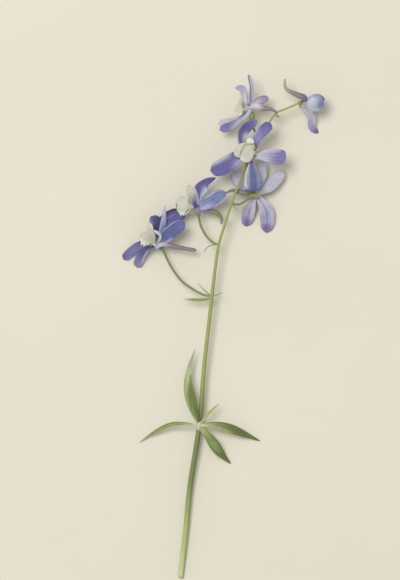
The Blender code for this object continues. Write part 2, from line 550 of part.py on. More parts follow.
def main():
    clear_scene()
    collection = bpy.data.collections.new("larkspur flower spike")
    bpy.context.scene.collection.children.link(collection)
    make_stem(collection)
    make_leaf(collection)
    for letter, bloom in BLOOMS.items():
        make_bloom(letter, bloom, collection)


main()
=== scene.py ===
import math
from typing import NamedTuple

import bpy
import numpy as np
from mathutils import Matrix, Vector


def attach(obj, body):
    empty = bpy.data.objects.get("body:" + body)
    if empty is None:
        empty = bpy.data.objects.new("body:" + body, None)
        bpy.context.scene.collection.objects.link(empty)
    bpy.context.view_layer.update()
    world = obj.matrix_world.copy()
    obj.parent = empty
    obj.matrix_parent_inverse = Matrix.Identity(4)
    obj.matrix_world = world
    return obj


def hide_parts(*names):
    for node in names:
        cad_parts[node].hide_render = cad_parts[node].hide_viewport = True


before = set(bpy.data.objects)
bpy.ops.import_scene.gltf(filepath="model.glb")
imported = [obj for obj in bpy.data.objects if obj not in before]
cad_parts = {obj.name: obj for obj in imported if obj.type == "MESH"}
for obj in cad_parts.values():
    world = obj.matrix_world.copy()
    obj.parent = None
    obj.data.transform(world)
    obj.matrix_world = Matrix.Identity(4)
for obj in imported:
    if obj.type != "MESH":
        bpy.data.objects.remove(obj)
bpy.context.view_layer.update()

# The look of a cut larkspur flower spike that lies on a pale floor, seen from above. Each solid of the frame
# is replaced by a finer piece of the same form, in the same place. Places below are in millimetres from the
# middle of the spike, on the floor.

MM = 0.001

# Driving dimensions, in millimetres
FOOT_RADIUS = 1.26
NODE_RADIUS = 1.12
RACEME_RADIUS = 0.62
TIP_RADIUS = 0.48
PEDICEL_RADIUS = 0.5
THREAD_RADIUS = 0.21
LEAF_COLLAR_RADIUS = 1.3
LEAF_COLLAR_HALF_LENGTH = 2.3
LOBE_THICKNESS = 0.55
BRACT_THICKNESS = 0.5
SEPAL_THICKNESS = 0.5
PETAL_THICKNESS = 0.42
STAMEN_COUNT = 5
STAMEN_SPREAD = 1.1
STAMEN_ROOT_SPREAD = 0.3
STAMEN_HUB_RADIUS = 0.5
FILAMENT_ROOT_RADIUS = 0.182
FILAMENT_RADIUS = 0.156
ANTHER_RADIUS = 0.39
ANTHER_HALF_LENGTH = 0.468

# Cups as shares of the half-width. A blade's root lies this share of the way out of the body that it grows
# from, and a petal hub has this share of the size of its solid.
LOBE_CUP = 0.25
BRACT_CUP = 0.2
ROOT_SHARE = 0.35
PETAL_HUB_SHARE = 0.9

# Meshes: tubes as (sides, distance between rings in millimetres), knobs as (segments, rings) and blades as
# (rows, columns). A smooth curve has this many steps from one of its points to the next.
STEM_MESH = (28, 0.8)
PEDICEL_MESH = (16, 0.5)
SPUR_MESH = (20, 0.4)
THREAD_MESH = (12, 0.4)
FILAMENT_MESH = (10, 0.4)
LEAST_RINGS = 6
KNOB_MESH = (28, 18)
ANTHER_MESH = (14, 8)
BLADE_MESH = (48, 26)
LOBE_MESH = (60, 18)
BRACT_MESH = (24, 12)
CURVE_STEPS = 24

# Half-width along a blade, from its base (0) to its tip (1), as a share of the widest half-width
SEPAL_OUTLINE = ((0, 0.3), (0.15, 0.38), (0.35, 0.7), (0.6, 1), (0.8, 0.95), (0.93, 0.66), (1, 0.22))
BLUNT_OUTLINE = ((0, 0.26), (0.15, 0.36), (0.35, 0.72), (0.6, 0.98), (0.85, 1), (0.95, 0.85), (1, 0.55))
OBLONG_OUTLINE = ((0, 0.34), (0.15, 0.52), (0.35, 0.86), (0.6, 1), (0.8, 0.93), (0.93, 0.68), (1, 0.3))
BROAD_OUTLINE = ((0, 0.5), (0.15, 0.72), (0.35, 0.95), (0.55, 1), (0.8, 0.92), (0.93, 0.68), (1, 0.34))
STRAP_OUTLINE = ((0, 0.4), (0.2, 0.52), (0.45, 0.6), (0.7, 0.96), (0.87, 1), (0.95, 0.8), (1, 0.42))
HOOKED_OUTLINE = ((0, 0.26), (0.25, 0.36), (0.5, 1), (0.68, 0.66), (0.85, 0.42), (1, 0.12))
POINTED_OUTLINE = ((0, 0.4), (0.2, 0.75), (0.45, 1), (0.7, 0.8), (0.9, 0.38), (1, 0.12))
LOBE_OUTLINE = ((0, 0.34), (0.2, 0.7), (0.42, 1), (0.65, 0.84), (0.85, 0.4), (1, 0.12))
PETAL_OUTLINE = ((0, 0.2), (0.2, 0.32), (0.4, 0.78), (0.6, 1), (0.8, 0.95), (0.93, 0.68), (1, 0.36))
CLAW_OUTLINE = ((0, 0.4), (0.3, 0.5), (0.6, 0.95), (0.8, 1), (0.93, 0.7), (1, 0.35))

STEM_LINE = (
    ((-19.4, -113, 1.27), FOOT_RADIUS),
    ((-17.1, -92.8, 2.3), 1.22),
    ((-15.1, -72.1, 3.5), 1.18),
    ((-11, -45.1, 5.2), NODE_RADIUS),
    ((-8.8, -18.5, 6.6), 0.92),
    ((-6.7, 0.4, 7.5), 0.85),
    ((-5.4, 12.1, 8.1), 0.80),
    ((-3.6, 27.5, 9), 0.68),
    ((-2.1, 36.9, 9.6), RACEME_RADIUS),
    ((-0.2, 43.1, 10), 0.58),
    ((3.6, 55.1, 10.6), 0.55),
    ((7.5, 65.3, 10.9), 0.52),
    ((9.5, 71.5, 11), 0.5),
    ((12.8, 79.1, 11), 0.5),
    ((17.3, 85.9, 10.9), TIP_RADIUS),
    ((23, 94.8, 10.6), TIP_RADIUS),
    ((27.9, 97.3, 10.2), TIP_RADIUS),
    ((33.8, 99.9, 9.4), TIP_RADIUS),
)

# Flower stalks, each from its node on the stem to the receptacle of its bloom
PEDICELS = {
    "a": ((-5.2, 13.4, 8.1), (-9.2, 14, 7.7), (-13.9, 16.5, 7.2), (-18.4, 19.7, 6.75),
          (-21.8, 23.8, 6.45), (-24.5, 28.2, 6.2), (-26.4, 32.3, 5.95), (-28.1, 35.2, 5.8)),
    "b": ((-2.1, 36.5, 9.6), (-4.7, 37.3, 9.3), (-7.7, 40.2, 8.7), (-9.9, 44, 8.3),
          (-10.9, 47.4, 8.1), (-11.4, 49.9, 8)),
    "c": ((3.5, 54.9, 10.6), (6.5, 54.4, 10.7), (8.9, 55.4, 10.2), (11.3, 57.1, 9.4),
          (13.3, 58.4, 8.8)),
    "d": ((7.5, 65.3, 10.9), (9.6, 70.3, 11.8), (11.7, 74.6, 12.2)),
    "e": ((16, 83.8, 10.9), (14.2, 86.8, 10.8), (13.1, 89.5, 10.5), (12.5, 93.1, 10.3)),
}

# Small bracts and threads beside the nodes of the stem
BRACTS = (
    (((-5.4, 12.5, 8.1), (-10.1, 11.7, 7.8), (-18.5, 12, 6.4)), 1.5),
    (((34.4, 99.8, 9.2), (34.4, 98.5, 9), (34.6, 97.1, 8.7)), 1),
    (((23, 94.8, 10.6), (24.3, 93.9, 10.9), (25.8, 93.6, 11)), 1),
)
THREADS = (
    ((-4.7, 13.6, 8.1), (-2.7, 14, 8.3), (-0.5, 14.9, 8.4)),
    ((-5.4, 13.2, 8.2), (-8.3, 15.7, 8.8), (-11.3, 18.8, 9.2)),
    ((-2.2, 36.6, 9.6), (-5.6, 36.1, 9.9), (-7.7, 34.8, 9.6), (-8.6, 33.3, 8.8)),
    ((3.6, 55, 10.6), (4.7, 53.5, 10.8), (5.9, 51.5, 10.8)),
)

# Leaf lobes: spine from the collar to the tip, widest width, and roll at base and tip in degrees
LEAF_NODE = (-11, -44.9, 6.35)
LEAF_LOBES = (
    (((-11.5, -43.2, 6.9), (-14.7, -37, 7.8), (-16.3, -30.2, 7.2), (-16.2, -23.5, 6.4),
      (-15, -17.2, 5.8), (-12.7, -10.2, 5.2)), 3.1, 20, 0),
    (((-11.1, -43, 7.1), (-12.5, -37.9, 8.4), (-13.6, -33.4, 8.3), (-14.7, -28, 7.7), (-15, -21.7, 6.9)),
     3.2, -20, -10),
    (((-10.6, -43.9, 7.1), (-7.3, -39.9, 7.4), (-4.4, -37, 6.8), (-1.6, -34.8, 6)), 1.35, 0, 0),
    (((-11.7, -44.7, 7), (-16.4, -43.9, 7.6), (-23.6, -44.3, 6.2), (-31, -47.8, 3.2), (-37.9, -52.5, 0.35)),
     1.9, 15, 0),
    (((-10.4, -44.7, 7), (-3.8, -44.5, 7.6), (2.5, -46, 6.2), (9.7, -48.8, 3.2), (16.4, -51.8, 0.35)),
     4, -15, 0),
    (((-10.6, -45.5, 7), (-7.2, -49.3, 7.2), (-4, -53.7, 5.4), (-0.7, -58, 2.8), (3.2, -62, 0.35)),
     4.6, -10, 0),
)

# Each sepal or petal is (places from base to tip, widest width, outline, roll at base, roll at tip, cup),
# with rolls in degrees. A cup over 0 lifts the side edges towards the upper face, as a share of the
# half-width. Receptacles and calyxes are (place, axis, radius, half-length), petal hubs are (place, radius,
# half-height), spurs are lines of (place, radius), and stamens go from their hub to the middle of their tips.
BLOOMS = {
    "a": {
        "receptacle": ((-28, 35.3, 5.1), (-0.55, 0.2, 0.8), 1.2, 1.2),
        "calyx": ((-29.6, 36.2, 7.6), (-0.55, 0.2, 0.8), 1.7, 0.8),
        "petal_hub": ((-30.8, 36.5, 8.98), 0.95, 0.5),
        "sepals": (
            (((-34, 37.4, 6.6), (-38, 36.1, 3.8), (-41.9, 33, 1.2), (-45.1, 30, 0.4)),
             3.9, BLUNT_OUTLINE, 40, 0, 0.2),
            (((-33.5, 34.9, 6.4), (-35.9, 33, 4.4), (-37.8, 29.7, 1.8), (-38.9, 26.4, 0.6)),
             4, BLUNT_OUTLINE, 30, 0, 0.2),
            (((-27.7, 38.3, 8.6), (-24.7, 41, 9.8), (-21.4, 43.6, 10.6), (-17.5, 46.2, 10.6)),
             6.2, BROAD_OUTLINE, -10, -10, 0.2),
            (((-27.9, 41.8, 7.2), (-25.2, 47.3, 6.5), (-17.3, 51.2, 4.9)), 7.2, OBLONG_OUTLINE, 5, 5, 0.15),
            (((-27.9, 41.3, 8.9), (-26.7, 48.1, 9.2), (-26.4, 54.2, 8.6)),
             2.8, POINTED_OUTLINE, 15, 15, -0.3),
            (((-28.8, 41.3, 7.5), (-29.5, 45.5, 7.7), (-32.8, 49, 8.2)), 5.6, SEPAL_OUTLINE, 5, 0, 0.15),
        ),
        "spur": (((-26.6, 36.6, 8.4), 1.15), ((-22.3, 35.7, 8), 1.05),
                 ((-16.9, 34.6, 7.4), 0.92), ((-13.5, 34.1, 7.1), 0.86), ((-12.6, 34, 7), 0.5)),
        "petals": (
            (((-32, 38.2, 10.4), (-34, 39.5, 11), (-36.9, 40.9, 10.4)), 7.6, PETAL_OUTLINE, 0, 0, -0.15),
            (((-28.8, 38.4, 10.8), (-28.6, 40.7, 11.6), (-31.5, 42.8, 12.2)),
             2.2, CLAW_OUTLINE, 45, 45, 0),
            (((-31.9, 40.4, 9.9), (-32.8, 43.3, 10.4), (-33.4, 46.4, 10.6)),
             2.7, CLAW_OUTLINE, 10, 10, 0.15),
        ),
        "stamens": ((-32.4, 36.5, 8.55), (-34.9, 36.9, 8.75)),
    },
    "b": {
        "receptacle": ((-11.5, 50, 8), (-0.05, 0.95, 0.3), 1.2, 1),
        "calyx": ((-11.6, 52.9, 8.9), (-0.05, 0.95, 0.3), 1.35, 1.6),
        "petal_hub": ((-13.9, 53.4, 9.6), 0.7, 0.6),
        "sepals": (
            (((-9.5, 53.9, 9.9), (-6.5, 55.3, 10.8), (-2.9, 57.5, 11.4), (0.9, 59.9, 11.8)),
             6.3, BROAD_OUTLINE, -10, -10, 0.2),
            (((-11, 57.1, 10), (-10.3, 61.1, 10.8), (-7.9, 64.3, 11), (-3.5, 66.4, 11)),
             5.8, HOOKED_OUTLINE, 5, 5, 0.2),
            (((-11.9, 57.1, 10.8), (-12.7, 60.7, 11.6), (-13.4, 62.6, 11.8)),
             1.6, POINTED_OUTLINE, 0, 0, 0),
            (((-14.8, 54.1, 7.1), (-17.6, 55.1, 6.8), (-20, 55.7, 6.8)), 4.2, SEPAL_OUTLINE, 0, 0, 0),
            (((-12.8, 53.9, 11.4), (-13.2, 56.6, 11.8), (-12.8, 58.7, 11.6)),
             2, POINTED_OUTLINE, 20, 20, 0),
        ),
        "spur": (((-9.2, 51.5, 8.9), 0.85), ((-6.5, 51.6, 8.7), 1.05), ((-4, 51, 8.7), 1.1),
                 ((-1.8, 49.4, 9), 0.85), ((-0.9, 47.7, 9.4), 0.65), ((-1, 46, 9.8), 0.5)),
        "petals": (
            (((-15.8, 53.7, 10.4), (-17.4, 53.9, 10.7), (-21.1, 53.8, 10.2)),
             8.5, PETAL_OUTLINE, 0, 0, -0.15),
            (((-14.5, 57.1, 9.9), (-15.1, 60.2, 10.2), (-15.5, 63.1, 10.4)), 3.5, CLAW_OUTLINE, 0, 0, 0.15),
            (((-16, 51.9, 9.3), (-17.6, 51.1, 9.2), (-18.9, 50.8, 9.2)), 3, CLAW_OUTLINE, 0, 0, 0),
        ),
        "stamens": ((-13.7, 50.9, 7.9), (-16.2, 50.6, 7.7)),
    },
    "c": {
        "receptacle": ((13.7, 58.3, 8.9), (1, -0.1, 0), 1.1, 2.4),
        "calyx": ((14.2, 58.8, 6.6), (0, 0.05, -1), 1.9, 0.8),
        "petal_hub": ((14.1, 58.9, 4.9), 1.1, 0.5),
        "sepals": (
            (((12.9, 55.5, 6.1), (11.4, 51.2, 3.9), (10, 44.8, 0.45)), 5.6, OBLONG_OUTLINE, 0, 0, -0.15),
            (((17.1, 55.5, 6.2), (19.3, 51.2, 4.6), (19.8, 47.2, 2.4), (19.4, 41.9, 0.45)),
             6.5, OBLONG_OUTLINE, 0, 0, -0.15),
            (((20, 62.4, 5.8), (23.2, 65.8, 5), (26.7, 69.9, 4.2)), 5.8, OBLONG_OUTLINE, -10, -10, -0.15),
            (((16.4, 64.3, 6.2), (17.3, 69.2, 5.6), (17.5, 74.4, 5)), 4.6, SEPAL_OUTLINE, 10, 10, -0.15),
            (((9.7, 62, 6.2), (7, 65, 5.6), (4.1, 69.7, 4.8)), 5.8, OBLONG_OUTLINE, 10, 10, -0.15),
        ),
        "spur": (((11.7, 60, 7), 1.1), ((9.7, 59.9, 7.7), 1.12), ((6.5, 60.1, 8.1), 1.05),
                 ((4, 60.8, 8.3), 0.8), ((1.3, 59.8, 8.5), 0.5)),
        "petals": (
            (((13.1, 56.2, 3.7), (11.9, 52.4, 1.5)), 3.8, PETAL_OUTLINE, 0, 0, 0.15),
            (((16.2, 56.3, 3.7), (18.2, 52.8, 1.5)), 3.8, PETAL_OUTLINE, 0, 0, 0.15),
            (((15.3, 61.8, 4.4), (16.4, 65.2, 4)), 3, CLAW_OUTLINE, 0, 0, 0.15),
        ),
        "stamens": ((14.1, 58.5, 3.5), (14.4, 56.8, 1.5)),
    },
    "d": {
        "receptacle": ((12.2, 75.2, 12.2), (-0.05, 0.05, 1), 1.2, 1.1),
        "calyx": ((12.1, 75.3, 14.45), (-0.05, 0.05, 1), 1.8, 0.8),
        "petal_hub": ((11.5, 77.7, 16.02), 1.2, 0.5),
        "sepals": (
            (((9, 79.7, 14.7), (8, 84.1, 16), (10, 88.3, 17.2), (14.9, 91.8, 17.2)),
             4.6, OBLONG_OUTLINE, 30, 10, 0.2),
            (((13.6, 79.8, 14.6), (14.6, 83.3, 15), (17.3, 86.9, 15.2), (21.2, 90.5, 15)),
             4.8, BLUNT_OUTLINE, 0, -10, 0.2),
            (((17.3, 76.1, 15), (22.3, 75.9, 15.4), (27.9, 75.2, 15)), 6.6, BLUNT_OUTLINE, 0, 0, 0.15),
            (((7.4, 76, 14.6), (3.1, 73.4, 14.4), (-1.1, 70.9, 13.8), (-5.9, 69.4, 13.2)),
             7.6, OBLONG_OUTLINE, 10, 0, 0.2),
            (((12.4, 70.1, 14.1), (12.6, 65.2, 13.1), (12.9, 60.3, 11.9)), 7, BLUNT_OUTLINE, 0, 0, -0.2),
        ),
        "spur": (((14.8, 75.8, 13.9), 1), ((18.2, 75.4, 12.4), 0.92), ((20.9, 75.2, 11.4), 0.78),
                 ((23.6, 75.2, 10.8), 0.5)),
        "petals": (
            (((9.9, 79.7, 17.4), (7.6, 78.9, 17.9), (5.6, 75.5, 17.3)), 4.8, BROAD_OUTLINE, 5, 5, -0.1),
            (((11.9, 79.7, 18), (10.5, 76.9, 18.5), (8.8, 73.3, 17.7)), 6, BROAD_OUTLINE, -5, -5, -0.1),
            (((11.8, 80.7, 17.3), (11.8, 84, 17)), 3.6, CLAW_OUTLINE, 0, 0, -0.2),
        ),
        "stamens": ((10.4, 75.2, 16.25), (8.2, 77, 16.2)),
    },
    "e": {
        "receptacle": ((12.5, 94.1, 10.2), (-0.05, 1, 0.1), 1.4, 2.1),
        "calyx": ((12.3, 98, 10.7), (-0.05, 1, 0.1), 1.6, 1),
        "petal_hub": ((9.4, 97.8, 11), 0.7, 0.6),
        "sepals": (
            (((12.3, 102.5, 11.6), (12.6, 107.5, 12), (11.1, 112.6, 11.8)),
             2.6, OBLONG_OUTLINE, 35, 35, 0.2),
            (((9.9, 100.3, 12.6), (9.1, 103.6, 13.2), (8.3, 106.2, 13), (5.2, 106.7, 12.4)),
             3, OBLONG_OUTLINE, 20, 20, 0.2),
            (((15.3, 100.5, 9.8), (17.8, 101.5, 9.6), (20.2, 102, 9.6)), 3.6, OBLONG_OUTLINE, 10, 10, 0.1),
            (((10.4, 94.4, 12.6), (7, 92, 11.6), (2.7, 89.5, 9.6), (-1.8, 87.9, 8.2)),
             3.6, STRAP_OUTLINE, 0, 0, 0.1),
            (((9, 94.9, 7.8), (4.3, 92.4, 6.8), (-2.6, 90.5, 6)), 3, STRAP_OUTLINE, 10, 10, 0.1),
        ),
        "spur": (((14.6, 98.5, 11.7), 1.75), ((16.9, 97.7, 12.2), 1.5), ((19.1, 97.3, 12.6), 1.1),
                 ((21.6, 96.9, 12.8), 0.8), ((23.7, 95.5, 12.8), 0.45)),
        "petals": (
            (((8.1, 99.5, 12.6), (6.9, 97.8, 13.3), (6.8, 93.8, 13.3)), 3.6, CLAW_OUTLINE, 0, 0, 0),
            (((8.4, 99.6, 11.7), (7.6, 101.8, 11.8)), 2.9, CLAW_OUTLINE, 0, 0, 0),
        ),
        "stamens": ((9.8, 96.2, 9.9), (7.3, 95.5, 10)),
    },
    "f": {
        "receptacle": ((34.4, 100, 9.2), (0.92, 0.2, 0.3), 1.1, 1.15),
        "calyx": ((36.7, 100.5, 10.1), (0.92, 0.2, 0.3), 1.5, 0.8),
        "petal_hub": ((39.3, 100.1, 10.2), 0.6, 0.6),
        "sepals": (
            (((39.4, 102.2, 11.5), (42.3, 102.5, 11.7), (45.2, 101, 11.2)),
             3.2, OBLONG_OUTLINE, -20, -20, -0.2),
            (((38.7, 99.8, 12.7), (41.8, 99.5, 13), (45, 99.5, 12)), 7.4, BROAD_OUTLINE, 5, 5, -0.35),
            (((38.7, 99.8, 7.6), (41.8, 99.5, 7.3), (44.8, 99.5, 8.3)), 6.8, BROAD_OUTLINE, 0, 0, 0.35),
            (((36, 97.6, 8), (37.8, 95.8, 6.2), (39.6, 93.1, 4), (39.8, 89.5, 1.4), (42.5, 86.7, 0.35)),
             3.5, OBLONG_OUTLINE, 10, 0, 0.1),
            (((38.2, 97.4, 7), (40.1, 96.2, 5.8), (41.9, 95.9, 5.4)), 3.2, SEPAL_OUTLINE, 10, 10, 0.1),
        ),
        "spur": (((35.8, 102.4, 11.1), 1.35), ((33.7, 103.2, 11.3), 1.3), ((30.8, 104.5, 11.2), 1),
                 ((28.5, 105.7, 11), 0.8), ((27.5, 107.3, 11), 0.68), ((27.4, 110.3, 11), 0.5)),
        "petals": (
            (((39.8, 98.5, 10.2), (39.8, 95.5, 9.8)), 3.2, CLAW_OUTLINE, 0, 0, 0),
            (((41, 100, 10.2), (43.2, 99.7, 10)), 2.8, CLAW_OUTLINE, 0, 0, 0),
        ),
        "stamens": None,
    },
}

# Inks of the plant, as sRGB
INK = {
    "deep": "#615D95", "violet": "#7C78A8", "lilac": "#A6A3C2", "mauve": "#897BA0", "plum": "#75659A",
    "indigo": "#4A4C7C", "night": "#3E4068", "denim": "#555D8D", "blue": "#68759F", "sky": "#9DA8C4",
    "pale": "#C2C0CF", "grey": "#CBC9CF", "haze": "#BDBBC8", "mist": "#B9BEC7",
    "snow": "#E0DFDC", "white": "#D6D4CA", "cream": "#C7C5B6", "stone": "#B9B9A4", "moss": "#A8AA92",
    "umber": "#8F8286", "ash": "#A9A6AC", "olive": "#84865F", "anther": "#7D7B4E", "bronze": "#94896A",
    "stalk": "#9AA35F", "shade": "#77834F", "sun": "#ABAE66", "green": "#8A995E", "dark green": "#6B7840",
    "light green": "#A8B374", "wan": "#C6CB98", "bright": "#8E9B52",
}


class Look(NamedTuple):
    """How a blade looks. An edge is (ink, start, end, reach) and a blot is (ink, place along, place across,
    reach along, reach across), with places from 0 at the base to 1 at the tip, and across from -1 to 1."""
    inks: tuple            # from the base to the tip
    left: tuple = None     # the left edge, seen from above with the tip ahead
    right: tuple = None
    line: float = 0.2      # strength of the dark mid line
    veins: float = 0.5     # strength of the dark veins, pale below 0
    ruffle: float = 0.1    # height of the waved edge in millimetres
    ragged: float = 0.0    # raggedness of the end, as a share of the width
    teeth: float = 0.0     # depth of the teeth on the left edge, as a share of the half-width
    rim: float = 0.5       # strength of the dark rim
    blots: tuple = ()


# Inks by piece, each from its base to its tip
# The two "shade" inks of the stem, just below the leaf node, are painted shade from the leaf above them.
STEM_INKS = ("wan", "light green", "shade", "shade", *["stalk"] * 6, "sun")
PEDICEL_INKS = {
    "a": ("bright", "olive", "olive", "olive", "shade"),
    "b": ("bright", "olive", "olive", "olive"),
    "c": ("olive", "olive", "olive", "shade", "moss"),
    "d": ("stalk", "olive", "olive"),
    "e": ("stalk", "stalk", "bright"),
}
RECEPTACLE_INKS = {
    "a": ("shade", "olive"),
    "b": ("olive", "umber"),
    "c": ("olive", "olive", "stalk"),
    "d": ("olive", "moss"),
    "e": ("bright", "stalk", "shade"),
    "f": ("stalk", "shade"),
}
THREAD_INKS = ("bright", "olive", "moss")
COLLAR_INKS = ("wan", "cream", "wan")
PETAL_HUB_INKS = ("moss", "cream")
STAMEN_HUB_INKS = ("moss",)
FILAMENT_INKS = ("moss", "cream", "olive")
ANTHER_INKS = ("anther", "bronze")

# Looks by piece. The blades of a bloom come in the same order as in its form.
BRACT_LOOK = Look(("bright", "green", "green", "wan"), line=0.3, veins=0.4, ruffle=0)
LOBE_LOOKS = (
    Look(("green", "green", "light green", "wan", "moss", "ash"),
         ("light green", 0.1, 0.7, 0.8), ("green", 0, 0.55, 0.5), line=0.4, ruffle=0.12),
    Look(("dark green", "dark green", "dark green", "green"), ("light green", 0, 0.3, 0.5),
         line=0.3, veins=0.4),
    Look(("wan", "light green", "light green", "light green", "ash"), veins=0.3, ruffle=0),
    Look(("wan", "bright", "bright", "green", "ash"), None, ("dark green", 0.15, 1, 0.7), line=0, veins=0.3),
    Look(("wan", "green", "dark green", "dark green", "dark green"), ("dark green", 0.1, 1, 0.6),
         ("light green", 0, 0.5, 0.8), line=0.3, veins=0.6, ruffle=0.15),
    Look(("light green", "green", "green", "dark green", "dark green"), ("dark green", 0.2, 1, 0.5),
         ("dark green", 0.4, 1, 0.4), line=0, veins=0.6, ruffle=0.15),
)
SLIM_PETAL = Look(("moss", "cream", "cream", "white"), veins=0.4, ragged=0.02, rim=0.9)
